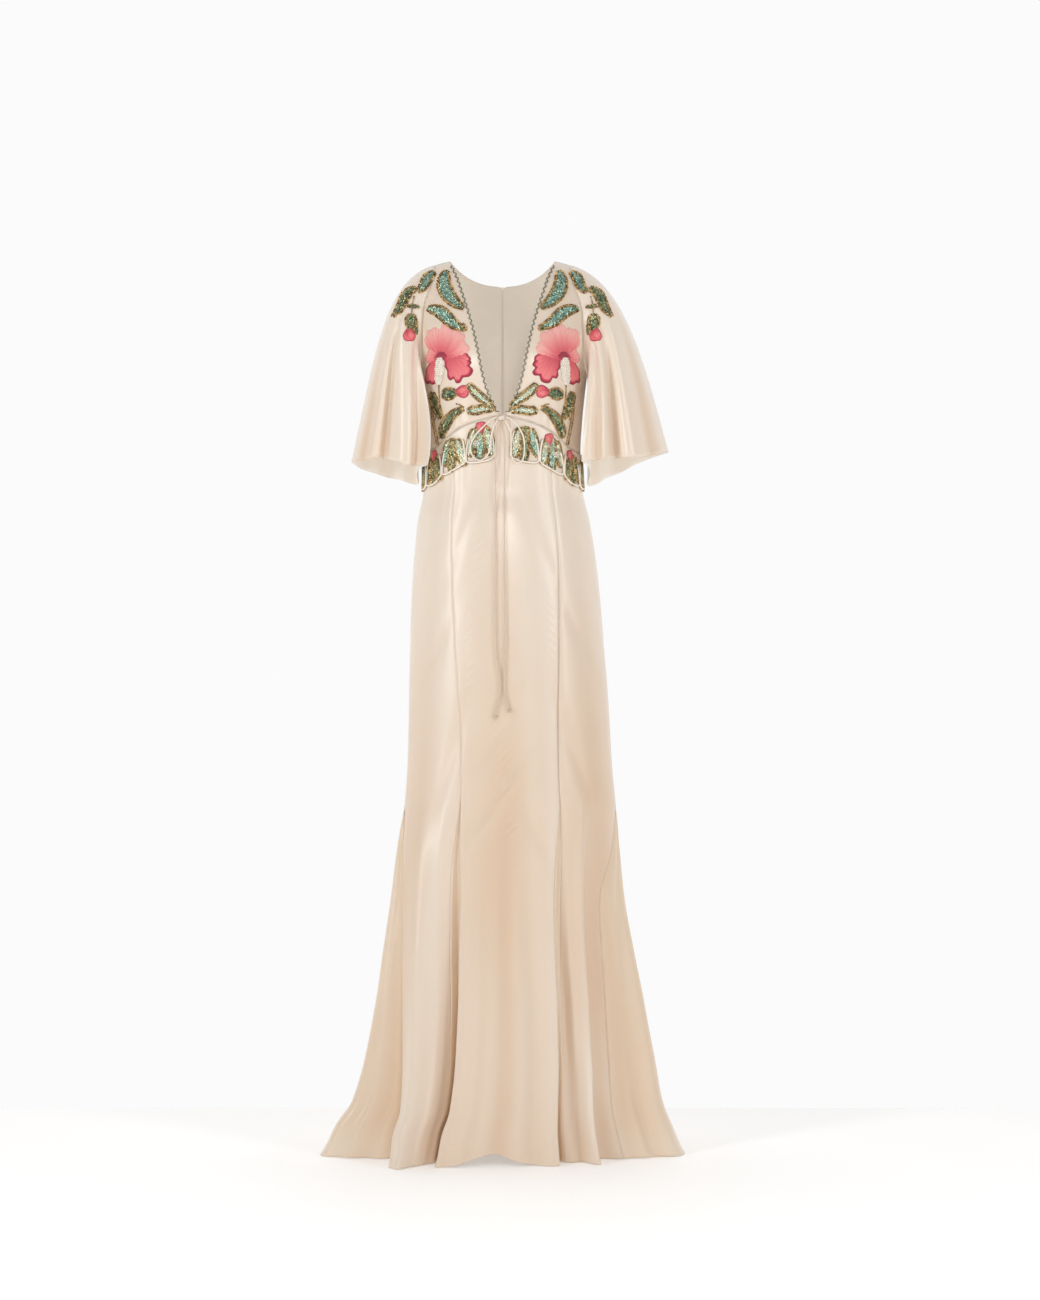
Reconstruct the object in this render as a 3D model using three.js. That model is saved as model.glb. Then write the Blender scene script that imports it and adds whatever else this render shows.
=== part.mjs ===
// A floor-length v-neck gown, worn: the hollow cloth of its bodice, sleeves and flared skirt.
// Millimetres, +Z up, front faces -Y. Heights in the tables are above the floor,
// and the origin lies midway between the two shoulder seams, where the wearer holds the gown up.
import * as THREE from 'three';

const { sin, cos, asin, abs, min, max, hypot, PI, exp, floor, ceil, round, sign } = Math;

// Driving sizes
const SHOULDER = 1511;
const WAIST = 1183;
const APEX = 600;
const WALL = 1.5;
const SEAM_GAP = 0.3;
const HEM_CLEAR = 1;
const CORD = 2.6;
const LAID = 0.35;
const BAND_WALL = 1.2;
const LOBES = 8;
const LOBE_START = 5.3;
const LOBE_NOTCH = 0.86;

const SATIN = { color: 0xf0e3d3, roughness: 0.35, metalness: 0 };
const PEACH = { color: 0xe6cfb8, roughness: 0.4, metalness: 0 };
const LEAF = { color: 0x8fa39a, roughness: 0.3, metalness: 0.2 };

// Body sections: half width, its middle, and the depths before and behind it
const BODY = [
  { h: 0, shift: 0, half: 302, mid: 32, front: 150, back: 292 },
  { h: 20, shift: 1, half: 291, mid: 30, front: 149, back: 286 },
  { h: 50, shift: 2, half: 277, mid: 28, front: 147, back: 276 },
  { h: 92, shift: 8, half: 258, mid: 24, front: 143, back: 258 },
  { h: 177, shift: 12, half: 239, mid: 18, front: 137, back: 228 },
  { h: 261, shift: 12, half: 224, mid: 12, front: 130, back: 200 },
  { h: 346, shift: 10, half: 210, mid: 6, front: 122, back: 176 },
  { h: 430, shift: 9, half: 197, mid: 2, front: 116, back: 152 },
  { h: 515, shift: 10, half: 186, mid: -2, front: 112, back: 136 },
  { h: 600, shift: 13, half: 178, mid: -3, front: 110, back: 126 },
  { h: 684, shift: 12, half: 172, mid: -4, front: 110, back: 122 },
  { h: 785, shift: 10, half: 168, mid: -4, front: 114, back: 126 },
  { h: 885, shift: 7, half: 163, mid: -4, front: 116, back: 130 },
  { h: 949, shift: 5.5, half: 159, mid: -5, front: 114, back: 128 },
  { h: 1013, shift: 4, half: 153, mid: -6, front: 111, back: 120 },
  { h: 1072, shift: 2, half: 145, mid: -8, front: 104, back: 106 },
  { h: 1125, shift: 1, half: 134, mid: -8, front: 96, back: 91 },
  { h: 1190, shift: 0, half: 132, mid: -8, front: 97, back: 90 },
  { h: 1240, shift: 0, half: 135, mid: -8, front: 100, back: 94 },
  { h: 1290, shift: 0, half: 140, mid: -6, front: 104, back: 98 },
  { h: 1340, shift: 0, half: 146, mid: -4, front: 104, back: 101 },
  { h: 1390, shift: 0, half: 151, mid: -3, front: 96, back: 98 },
  { h: 1430, shift: 0, half: 154, mid: -2, front: 82, back: 88 },
  { h: 1465, shift: 0, half: 153, mid: -1, front: 62, back: 68 },
  { h: 1490, shift: 0, half: 151, mid: 0, front: 40, back: 44 },
  { h: 1503, shift: 0, half: 150, mid: 0, front: 22, back: 24 },
  { h: 1511, shift: 0, half: 150, mid: 0, front: 2.4, back: 2.4 },
];

// Each bust cup's middle, spread and rise
const CUP = { x: 74, h: 1328, wide: 46, tall: 50, rise: 17 };

// Height of the under-bust seam, by turn round the body from the front (0) to the back (180)
const UNDER_BUST = [
  { turn: 0, h: 1240 },
  { turn: 17, h: 1232 },
  { turn: 33, h: 1220 },
  { turn: 46, h: 1204 },
  { turn: 60, h: 1189 },
  { turn: 80, h: WAIST },
  { turn: 180, h: WAIST + 2 },
];

// The front neck edge, from the seam to the shoulder
const NECK = [
  { h: 1243, x: 1.5 },
  { h: 1250, x: 9 },
  { h: 1264, x: 15 },
  { h: 1286, x: 25 },
  { h: 1311, x: 31.5 },
  { h: 1343, x: 38 },
  { h: 1377, x: 45 },
  { h: 1412, x: 54 },
  { h: 1451, x: 66 },
  { h: 1476, x: 74 },
  { h: SHOULDER, x: 89 },
];
const NECK_TURN = 36.4;
const BACK_NECK = 1476;

// The armhole, from the shoulder (0) to the underarm (1), with the turn before and behind
const ARMHOLE = [
  { along: 0, h: 1505, before: 48.5, behind: 131.5 },
  { along: 0.18, h: 1471, before: 51, behind: 129 },
  { along: 0.36, h: 1436, before: 57, behind: 124 },
  { along: 0.56, h: 1392, before: 62.5, behind: 118 },
  { along: 0.75, h: 1350, before: 68, behind: 112 },
  { along: 0.9, h: 1324, before: 77, behind: 103 },
  { along: 1, h: 1316, before: 90, behind: 90 },
];

// Skirt fold lines from the front to the back: turn at the godet tops and at the hem, and how far
// each stands out at the hem. Rows from one lip to the next lip of a godet bound it.
const FOLDS_RIGHT = [
  { top: 0, hem: 0, out: -13 },
  { top: 12, hem: 8, out: -14 },
  { top: 21, hem: 16.5, out: -7 },
  { top: 24.2, hem: 18.6, out: -10, lip: 'front' },
  { top: 27.6, hem: 19.8, out: -50 },
  { top: 31.2, hem: 21.2, out: -40, lip: 'front' },
  { top: 37, hem: 27, out: -26 },
  { top: 42, hem: 32.5, out: -4 },
  { top: 49, hem: 36, out: -46 },
  { top: 60, hem: 46, out: -30, lip: 'side' },
  { top: 74, hem: 59, out: -8 },
  { top: 84, hem: 72, out: 14 },
  { top: 93, hem: 84, out: 3 },
  { top: 101, hem: 94, out: -8, lip: 'side' },
  { top: 112, hem: 106, out: 12 },
  { top: 122, hem: 117, out: -16 },
  { top: 133, hem: 128, out: 14 },
  { top: 143, hem: 138, out: -6, lip: 'back' },
  { top: 148, hem: 142, out: -40 },
  { top: 153, hem: 146, out: -8, lip: 'back' },
  { top: 163, hem: 157, out: 16 },
  { top: 172, hem: 169, out: -8 },
  { top: 180, hem: 180, out: 10 },
];
const FOLDS_LEFT = [
  { top: 0, hem: 0, out: -13 },
  { top: 12, hem: 8.5, out: -13 },
  { top: 21, hem: 15, out: 0 },
  { top: 24.5, hem: 18, out: 4, lip: 'front' },
  { top: 27.6, hem: 19.3, out: -44 },
  { top: 31, hem: 20.8, out: -22, lip: 'front' },
  { top: 40, hem: 27, out: 10 },
  { top: 55, hem: 32.5, out: 34 },
  { top: 69, hem: 36, out: 26 },
  { top: 74, hem: 39, out: -42, lip: 'side' },
  { top: 80, hem: 50, out: -22 },
  { top: 86, hem: 62, out: 0 },
  { top: 92, hem: 73, out: 14 },
  { top: 100, hem: 88, out: -4, lip: 'side' },
  { top: 110, hem: 102, out: 10 },
  { top: 121, hem: 114, out: -14 },
  { top: 132, hem: 126, out: 16 },
  { top: 142, hem: 137, out: -4, lip: 'back' },
  { top: 147, hem: 141, out: -42 },
  { top: 152, hem: 145.5, out: -10, lip: 'back' },
  { top: 161, hem: 155, out: 12 },
  { top: 171, hem: 167, out: -6 },
  { top: 180, hem: 180, out: 10 },
];
const LAST_FOLD = 22;
// The seam that each godet's lips close into at its top, and where it lies at the waist
const SEAMS = { front: { top: 27.6, waist: 38 }, side: { top: 87, waist: 90 }, back: { top: 148, waist: 142 } };
const HEM_LIFT = { turn: -3.5, wide: 8.5, rise: 19 };

// Sleeve hem loops, by turn round the arm from the outside (0) through the front (90) and the
// underarm (180) to the back (270). lean moves the cloth's path sideways above the hem.
const HEM_LEFT = [
  { turn: 0, x: 256, y: 4, h: 1171, lean: -42, rise: 195 },
  { turn: 25, x: 240, y: -44, h: 1170, lean: -34, rise: 170 },
  { turn: 50, x: 206, y: -70, h: 1174, lean: -20, rise: 140 },
  { turn: 75, x: 178, y: -80, h: 1166, lean: -8, rise: 120 },
  { turn: 100, x: 150, y: -92, h: 1159, lean: -8, rise: 105 },
  { turn: 125, x: 125, y: -94, h: 1159, lean: -20, rise: 95 },
  { turn: 150, x: 139, y: -52, h: 1156, lean: 0, rise: 70 },
  { turn: 180, x: 145, y: -3, h: 1148, lean: 0, rise: 60 },
  { turn: 210, x: 143, y: 42, h: 1138, lean: 0, rise: 60 },
  { turn: 240, x: 148, y: 78, h: 1138, lean: 0, rise: 80 },
  { turn: 270, x: 172, y: 86, h: 1146, lean: -4, rise: 110 },
  { turn: 300, x: 206, y: 78, h: 1152, lean: -20, rise: 140 },
  { turn: 330, x: 240, y: 48, h: 1162, lean: -34, rise: 170 },
  { turn: 360, x: 256, y: 4, h: 1171, lean: -42, rise: 195 },
];
const HEM_RIGHT = [
  { turn: 0, x: 281, y: 4, h: 1188, lean: -48, rise: 185 },
  { turn: 25, x: 262, y: -44, h: 1180, lean: -38, rise: 165 },
  { turn: 50, x: 224, y: -72, h: 1173, lean: -24, rise: 140 },
  { turn: 75, x: 190, y: -86, h: 1172, lean: -8, rise: 120 },
  { turn: 100, x: 158, y: -94, h: 1168, lean: 0, rise: 105 },
  { turn: 125, x: 131, y: -94, h: 1166, lean: 4, rise: 95 },
  { turn: 150, x: 143, y: -52, h: 1160, lean: 0, rise: 70 },
  { turn: 180, x: 148, y: -3, h: 1150, lean: 0, rise: 60 },
  { turn: 210, x: 145, y: 44, h: 1136, lean: 0, rise: 60 },
  { turn: 240, x: 150, y: 80, h: 1136, lean: 0, rise: 80 },
  { turn: 270, x: 178, y: 90, h: 1150, lean: -4, rise: 110 },
  { turn: 300, x: 216, y: 82, h: 1164, lean: -24, rise: 140 },
  { turn: 330, x: 256, y: 52, h: 1182, lean: -38, rise: 165 },
  { turn: 360, x: 281, y: 4, h: 1188, lean: -48, rise: 185 },
];
// Sleeve flutes: where each trough runs round the arm, how wide it is and how deep at the hem
const FLUTES_LEFT = [
  { turn: 55, wide: 13, deep: 11 },
  { turn: 103, wide: 12, deep: 10 },
  { turn: 262, wide: 14, deep: 10 },
  { turn: 308, wide: 14, deep: 9 },
];
const FLUTES_RIGHT = [
  { turn: 66, wide: 12, deep: 11 },
  { turn: 101, wide: 11, deep: 10 },
  { turn: 258, wide: 14, deep: 11 },
  { turn: 305, wide: 15, deep: 9 },
];
const SLEEVE_TOP_REACH = 86;

// The tie: routes before the bodice and skirt, as x and height, from the bow's knot
const KNOT = { x: -2, h: 1236, lift: 5.6, wide: 6, tall: 4.6, deep: 3.6 };
const LOOP_LEFT = [
  [-8.4, 1237], [-17, 1234], [-30, 1222], [-44, 1206], [-51, 1188], [-47, 1173], [-36, 1166],
  [-25, 1173], [-19, 1188], [-18, 1206], [-13, 1222], [-7.6, 1232.2],
];
const LOOP_RIGHT = [
  [4.4, 1237], [13, 1234], [26, 1220], [33, 1205], [35, 1184], [30, 1166], [21, 1160],
  [15, 1170], [14, 1190], [13.5, 1208], [9, 1222], [3.6, 1232.2],
];
const TAIL_LEFT = [
  [-4, 1231.4], [-9, 1212], [-11, 1180], [-11.5, 1150], [-11, 1090], [-11, 1020], [-11.5, 950],
  [-11, 880], [-9, 840], [-3.5, 806], [-5, 776], [-12, 745],
];
const TAIL_RIGHT = [
  [0, 1231.4], [2.5, 1210], [3.4, 1170], [3.4, 1120], [3.2, 1050], [3.4, 980], [4.5, 900],
  [4.8, 860], [3.2, 820], [3.6, 785], [7, 768], [10.6, 755],
];
const END_KNOT = 3;

// Numbers and tables
const RAD = PI / 180;
const mix = (a, b, t) => a + (b - a) * t;
const clamp = (v) => min(1, max(0, v));
const ease = (t) => clamp(t) * clamp(t) * (3 - 2 * clamp(t));
const span = (count) => Array.from({ length: count + 1 }, (_, i) => i / count);

// A smooth value from a table whose key column rises, with no overshoot between rows
function read(table, key, column, at) {
  const last = table.length - 1;
  if (at <= table[0][key]) return table[0][column];
  if (at >= table[last][key]) return table[last][column];
  const slope = (k) => (table[k + 1][column] - table[k][column]) / (table[k + 1][key] - table[k][key]);
  const tilt = (k) => {
    if (k === 0) return slope(0);
    if (k === last) return slope(last - 1);
    const [before, after] = [slope(k - 1), slope(k)];
    return before * after > 0 ? (2 * before * after) / (before + after) : 0;
  };
  let row = 0;
  while (at > table[row + 1][key]) row += 1;
  const width = table[row + 1][key] - table[row][key];
  const t = (at - table[row][key]) / width;
  const [t2, t3] = [t * t, t * t * t];
  return table[row][column] * (2 * t3 - 3 * t2 + 1) + table[row + 1][column] * (3 * t2 - 2 * t3)
    + width * (tilt(row) * (t3 - 2 * t2 + t) + tilt(row + 1) * (t3 - t2));
}

// A point of the body's cloth: turn is 0 at the front and positive towards +X
function bodyPoint(turn, height, out = 0) {
  const at = (column, h = height) => read(BODY, 'h', column, h);
  const shoulderDrop = 6 * clamp((abs(sin(turn * RAD)) * 150 - 89) / 23) * ease((height - 1400) / 100);
  const [s, c] = [sin(turn * RAD), cos(turn * RAD)];
  const half = at('half');
  const depth = at(c > 0 ? 'front' : 'back', min(height + shoulderDrop, SHOULDER));
  const x = half * s;
  const cup = c > 0 ? CUP.rise * exp(-(((abs(x) - CUP.x) / CUP.wide) ** 2) - ((height - CUP.h) / CUP.tall) ** 2) : 0;
  const [nx, ny] = [s / half, -c / depth];
  const length = hypot(nx, ny);
  return new THREE.Vector3(
    at('shift') + x + (out * nx) / length,
    at('mid') - depth * c - cup * min(1, 3 * c) + (out * ny) / length,
    height - SHOULDER,
  );
}
function bodyNormal(turn, height) {
  const across = bodyPoint(turn + 0.1, height).sub(bodyPoint(turn - 0.1, height));
  const up = bodyPoint(turn, height).sub(bodyPoint(turn, height - 0.2));
  return across.cross(up).normalize();
}
const underBust = (turn) => read(UNDER_BUST, 'turn', 'h', abs(turn));
const turnAt = (x, height) => asin(x / read(BODY, 'h', 'half', height)) / RAD;

// The point of the body in front view at x, moved out from the cloth
function inFront(x, height, lift) {
  const shift = read(BODY, 'h', 'shift', height);
  return bodyPoint(turnAt(x - shift, height), height, lift);
}

// The skirt's fold lines
function foldTurn(folds, index, height) {
  const row = folds[index];
  const seam = godetOf(folds, index);
  const ratio = height / APEX;
  if (ratio < 1) {
    const plain = mix(row.hem, row.top, ratio);
    return seam ? mix(plain, seam.top, ease((height - APEX + 170) / 170)) : plain;
  }
  const top = seam ? seam.top : row.top;
  return mix(top, waistTurn(top), ease((height - APEX) / (WAIST - APEX)));
}
function godetOf(folds, index) {
  const name = Object.keys(SEAMS).find((key) => {
    const [from, to] = lips(folds, key);
    return index >= from && index <= to;
  });
  return SEAMS[name];
}
function lips(folds, key) {
  return folds.flatMap((row, index) => (row.lip === key ? [index] : []));
}
function waistTurn(top) {
  const stops = [{ top: 0, waist: 0 }, ...Object.values(SEAMS), { top: 180, waist: 180 }];
  const k = stops.findIndex((stop) => top <= stop.top);
  if (k < 1) return 0;
  return mix(stops[k - 1].waist, stops[k].waist, (top - stops[k - 1].top) / (stops[k].top - stops[k - 1].top));
}

// A point of the skirt: place counts fold lines from the front centre, negative to the left,
// and rise runs from the hem (0) to the under-bust seam (1)
function skirtPoint(place, rise) {
  const folds = place < 0 ? FOLDS_LEFT : FOLDS_RIGHT;
  const index = min(floor(abs(place)), LAST_FOLD - 1);
  const part = abs(place) - index;
  const nominal = rise * 2 * APEX;
  const turn = sign(place) * mix(foldTurn(folds, index, nominal), foldTurn(folds, index + 1, nominal), part);
  const out = mix(folds[index].out, folds[index + 1].out, 0.5 - 0.5 * cos(PI * part));
  const lift = HEM_CLEAR + HEM_LIFT.rise * exp(-(((turn - HEM_LIFT.turn) / HEM_LIFT.wide) ** 2)) * clamp(1 - rise * 3);
  const height = mix(lift, underBust(turn), rise);
  return bodyPoint(turn, height, out * max(0, 1 - nominal / APEX) ** 0.8);
}

// A wall of cloth over a grid of a surface: its two faces lie at the offsets outer and inner
// along the normal, which facing (1 or -1) turns outwards. Edges named in trim are drawn in to
// leave a seam gap.
function clothWall(surface, columns, rows, { outer = 0, inner = -WALL, facing = 1, trim = {}, closed = false }) {
  const small = 1e-3;
  const place = (u, v) => {
    const point = surface(u, v);
    const alongU = surface(u + small, v).sub(surface(u - small, v)).normalize();
    const alongV = surface(u, v + small).sub(surface(u, v - small)).normalize();
    const normal = new THREE.Vector3().crossVectors(alongU, alongV).normalize().multiplyScalar(facing);
    return { point, alongU, alongV, normal };
  };
  const sheets = [[], []];
  rows.forEach((v, j) => columns.forEach((u, i) => {
    const { point, alongU, alongV, normal } = place(u, v);
    if (i === 0) point.addScaledVector(alongU, trim.left || 0);
    if (i === columns.length - 1) point.addScaledVector(alongU, -(trim.right || 0));
    if (j === 0) point.addScaledVector(alongV, trim.bottom || 0);
    if (j === rows.length - 1) point.addScaledVector(alongV, -(trim.top || 0));
    sheets[0].push(point.clone().addScaledVector(normal, outer));
    sheets[1].push(point.clone().addScaledVector(normal, inner));
  }));
  return closedSheets(sheets, columns.length, rows.length, closed);
}

// Joins two sheets of points into one closed solid, with its faces turned out
function closedSheets([outside, inside], across, up, closed) {
  const points = [...outside, ...inside];
  const under = outside.length;
  const faces = [];
  const quad = (a, b, c, d) => faces.push(a, b, c, a, c, d);
  const at = (i, j) => j * across + (i % across);
  const strips = closed ? across : across - 1;
  for (let j = 0; j < up - 1; j += 1) {
    for (let i = 0; i < strips; i += 1) {
      const [a, b, c, d] = [at(i, j), at(i + 1, j), at(i + 1, j + 1), at(i, j + 1)];
      quad(a, b, c, d);
      quad(a + under, d + under, c + under, b + under);
    }
  }
  const rim = (a, b) => quad(b, a, a + under, b + under);
  for (let i = 0; i < strips; i += 1) {
    rim(at(i, 0), at(i + 1, 0));
    rim(at(i + 1, up - 1), at(i, up - 1));
  }
  for (let j = 0; j < up - 1 && !closed; j += 1) {
    rim(at(0, j + 1), at(0, j));
    rim(at(across - 1, j), at(across - 1, j + 1));
  }
  const geometry = new THREE.BufferGeometry();
  geometry.setAttribute('position', new THREE.Float32BufferAttribute(points.flatMap((p) => p.toArray()), 3));
  geometry.setIndex(volume(points, faces) < 0 ? faces.reverse() : faces);
  geometry.computeVertexNormals();
  return geometry;
}
function volume(points, faces) {
  let total = 0;
  for (let k = 0; k < faces.length; k += 3) {
    const [a, b, c] = [points[faces[k]], points[faces[k + 1]], points[faces[k + 2]]];
    total += a.dot(b.clone().cross(c)) / 6;
  }
  return total;
}

// Bodice: each panel runs from its inner edge (0) to its outer edge (1)
const SIDE_SHARE = 0.34;
function outerEdge(share, column) {
  if (share < SIDE_SHARE) return { turn: 90, h: mix(WAIST, ARMHOLE.at(-1).h, share / SIDE_SHARE) };
  const along = 1 - (share - SIDE_SHARE) / (1 - SIDE_SHARE);
  return { turn: read(ARMHOLE, 'along', column, along), h: read(ARMHOLE, 'along', 'h', along) };
}
function frontEdge(share) {
  const h = mix(NECK[0].h, SHOULDER, share);
  return { turn: turnAt(read(NECK, 'h', 'x', h), h), h };
}
const BACK_SHARE = 0.78;
function backEdge(share) {
  if (share < BACK_SHARE) return { turn: 180, h: mix(WAIST + 2, BACK_NECK, share / BACK_SHARE) };
  const part = (share - BACK_SHARE) / (1 - BACK_SHARE);
  return { turn: 180 - NECK_TURN * part, h: mix(BACK_NECK, SHOULDER, part ** 2.2) };
}
function bodicePoint(side, innerEdge, column) {
  return (across, share) => {
    const [from, to] = [innerEdge(share), outerEdge(share, column)];
    const turn = mix(from.turn, to.turn, across);
    const straight = mix(from.h, to.h, across);
    const low = mix(innerEdge(0).h, WAIST, across);
    const h = straight + (underBust(turn) - low) * (1 - share) ** 3;
    return bodyPoint(side * turn, h);
  };
}

// Sleeve: turn runs round the arm as in the hem tables, fall from the armhole (0) to the hem (1)
const HOLE_MIDDLE = new THREE.Vector3(146, 0, 1412 - SHOULDER);
function armholePoint(turn) {
  const about = ((turn % 360) + 360) % 360;
  const [along, column] = about <= 180 ? [about / 180, 'before'] : [(360 - about) / 180, 'behind'];
  return [read(ARMHOLE, 'along', column, along), read(ARMHOLE, 'along', 'h', along)];
}
function sleevePoint(hem, flutes) {
  return (turn, fall) => {
    const about = ((turn % 360) + 360) % 360;
    const edge = bodyPoint(...armholePoint(about));
    const run = bodyPoint(...armholePoint(about + 0.5)).sub(bodyPoint(...armholePoint(about - 0.5))).normalize();
    const out = bodyNormal(...armholePoint(about));
    const away = run.clone().cross(out).normalize();
    if (away.dot(HOLE_MIDDLE.clone().sub(edge)) < 0) away.negate();
    const under = min(about, 360 - about) / 180;
    const bend = 145 * RAD * under;
    const leave = away.clone().multiplyScalar(cos(bend)).addScaledVector(out, sin(bend));
    const start = edge.addScaledVector(away, SEAM_GAP * cos(bend / 2) + 0.2).addScaledVector(out, 0.5 * sin(bend / 2));
    const at = (column) => read(hem, 'turn', column, about);
    const end = new THREE.Vector3(at('x'), at('y'), at('h') - SHOULDER);
    const reach = mix(SLEEVE_TOP_REACH, 22, ease(under * 1.3));
    const bezier = new THREE.CubicBezierCurve3(
      start,
      start.clone().addScaledVector(leave, reach),
      end.clone().add(new THREE.Vector3(at('lean'), 0, at('rise'))),
      end,
    );
    const point = bezier.getPoint(fall);
    const middle = new THREE.Vector3(mix(HOLE_MIDDLE.x, 195, fall), 0, point.z);
    const inward = middle.sub(point).setZ(0).normalize();
    const dip = flutes.reduce((sum, row) => sum + row.deep * exp(-(((about - row.turn) / row.wide) ** 2)), 0);
    return point.addScaledVector(inward, dip * ease((fall - 0.3) / 0.7));
  };
}

// Scalloped band under the bust: place runs from 0 to LOBES round one side, drop from its
// scalloped edge (0) to the seam (1)
function bandPoint(side) {
  return (place, drop) => {
    const pitch = (178.8 - LOBE_START) / LOBES;
    const turn = LOBE_START + pitch * place;
    const lobe = place - floor(min(place, LOBES - 1e-6));
    const arc = clamp(1 - abs(2 * lobe - 1) ** 2.6) ** 0.5;
    const length = mix(71, 60, ease(turn / 60)) * mix(LOBE_NOTCH, 1, arc);
    return bodyPoint(side * turn, underBust(turn) - length * (1 - drop) - 1);
  };
}

// A round cord along a route before the body
function cord(route, lift) {
  const centres = route.map(([x, h]) => inFront(x, h, lift));
  const curve = new THREE.CatmullRomCurve3(centres, false, 'centripetal');
  const steps = max(12, ceil(curve.getLength() / (CORD * 5)));
  const section = new THREE.Shape(ring(CORD / 2, 8));
  return new THREE.ExtrudeGeometry(section, { steps, extrudePath: curve, bevelEnabled: false });
}
function ring(radius, sides) {
  return span(sides).slice(1).map((t) => new THREE.Vector2(radius * cos(2 * PI * t), radius * sin(2 * PI * t)));
}
function bead(radii, centre, segments) {
  const ball = new THREE.SphereGeometry(1, segments, segments - 2);
  ball.scale(...radii);
  ball.translate(...centre.toArray());
  return ball;
}

// The gown
const gown = new THREE.Group();
function add(name, geometry, look) {
  const mesh = new THREE.Mesh(geometry, new THREE.MeshStandardMaterial(look));
  mesh.name = name;
  gown.add(mesh);
}
const HALF_GAP = SEAM_GAP / 2 + 0.05;
const EDGES = { left: HALF_GAP, right: HALF_GAP, top: HALF_GAP };

// Columns of a panel between two fold lines, finer where the lines lie far apart
function columnsBetween(first, second) {
  const [from, to] = [min(first, second), max(first, second)];
  const columns = [from];
  for (let k = from; k < to; k += 1) {
    const width = (height) => {
      const [a, b] = [k, k + 1].map((i) => foldTurn(k < 0 ? FOLDS_LEFT : FOLDS_RIGHT, abs(i), height));
      return abs(b - a);
    };
    const parts = max(1, round(width(APEX) / 13), round(width(0) / 6.5));
    for (let part = 1; part <= parts; part += 1) columns.push(k + part / parts);
  }
  return columns;
}
const PANEL_ROWS = [0, 0.02, 0.05, 0.1, 0.17, 0.25, 0.33, 0.41, 0.5, 0.59, 0.68, 0.77, 0.84, 0.88, 0.915, 0.945, 0.973, 1];
const BODICE_ROWS = [0, 0.09, 0.18, 0.26, 0.34, 0.42, 0.5, 0.58, 0.66, 0.72, 0.78, 0.84, 0.9, 0.95, 0.98, 0.992, 1];
const GODET_ROWS = [0, 0.02, 0.05, 0.1, 0.17, 0.25, 0.33, 0.41, 0.48];

function addSkirt() {
  const panel = (name, from, to, look, rows = PANEL_ROWS, trim = EDGES) =>
    add(name, clothWall(skirtPoint, columnsBetween(from, to), rows, { trim }), look);
  const lip = (side, key) => lips(side < 0 ? FOLDS_LEFT : FOLDS_RIGHT, key);
  panel('skirt_centre_front', -lip(-1, 'front')[0], lip(1, 'front')[0], SATIN);
  for (const [side, word] of [[-1, 'left'], [1, 'right']]) {
    const stretch = (name, a, b, look, rows, trim) => {
      const [from, to] = side < 0 ? [-b, -a] : [a, b];
      panel(`${name}_${word}`, from, to, look, rows, trim);
    };
    const [front, flank, rear] = ['front', 'side', 'back'].map((key) => lip(side, key));
    stretch('skirt_side_front', front[1], flank[0], SATIN);
    stretch('skirt_side_back', flank[1], rear[0], SATIN);
    stretch('skirt_centre_back', rear[1], LAST_FOLD, SATIN);
    stretch('godet_front', ...front, PEACH, GODET_ROWS);
    stretch('godet_side', ...flank, PEACH, GODET_ROWS);
    stretch('godet_back', ...rear, PEACH, GODET_ROWS);
  }
}

// Columns of a bodice panel, which meet those of the skirt panels below it at the seam
function bodiceColumns(side, stretches, inner) {
  const folds = side < 0 ? FOLDS_LEFT : FOLDS_RIGHT;
  const turns = stretches.flatMap(([from, to]) => columnsBetween(side * from, side * to)).map((place) => {
    const index = min(floor(abs(place)), LAST_FOLD - 1);
    const part = abs(place) - index;
    return mix(foldTurn(folds, index, 2 * APEX), foldTurn(folds, index + 1, 2 * APEX), part);
  });
  const shares = turns.map((turn) => clamp((turn - inner) / (90 - inner))).sort((a, b) => a - b);
  return shares.filter((share, k) => k === 0 || share - shares[k - 1] > 1e-6);
}
function addBodice() {
  const trim = { left: HALF_GAP, right: HALF_GAP, bottom: HALF_GAP, top: HALF_GAP };
  for (const [side, word] of [[-1, 'left'], [1, 'right']]) {
    const folds = side < 0 ? FOLDS_LEFT : FOLDS_RIGHT;
    const [princess, flank, rear] = ['front', 'side', 'back'].map((key) => lips(folds, key));
    const before = bodiceColumns(side, [[0, princess[0]], [princess[1], flank[0]]], frontEdge(0).turn);
    const behind = bodiceColumns(side, [[flank[1], rear[0]], [rear[1], LAST_FOLD]], backEdge(0).turn);
    const front = clothWall(bodicePoint(side, frontEdge, 'before'), before, BODICE_ROWS, { facing: side, trim });
    const back = clothWall(bodicePoint(side, backEdge, 'behind'), behind, BODICE_ROWS, { facing: -side, trim });
    add(`bodice_front_${word}`, front, SATIN);
    add(`bodice_back_${word}`, back, SATIN);
  }
}

function addSleeves() {
  const turns = [0, 4, ...span(34).map((t) => mix(10, 350, t)), 356];
  const falls = [0.004, 0.05, 0.13, 0.24, 0.37, 0.5, 0.64, 0.78, 0.9, 1];
  for (const [side, word, hem, flutes] of [[-1, 'left', HEM_LEFT, FLUTES_LEFT], [1, 'right', HEM_RIGHT, FLUTES_RIGHT]]) {
    const point = sleevePoint(hem, flutes);
    const mirrored = (turn, fall) => {
      const p = point(turn, fall);
      return p.setX(side * p.x);
    };
    add(`sleeve_${word}`, clothWall(mirrored, turns, falls, { facing: side, closed: true }), SATIN);
  }
}

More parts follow.
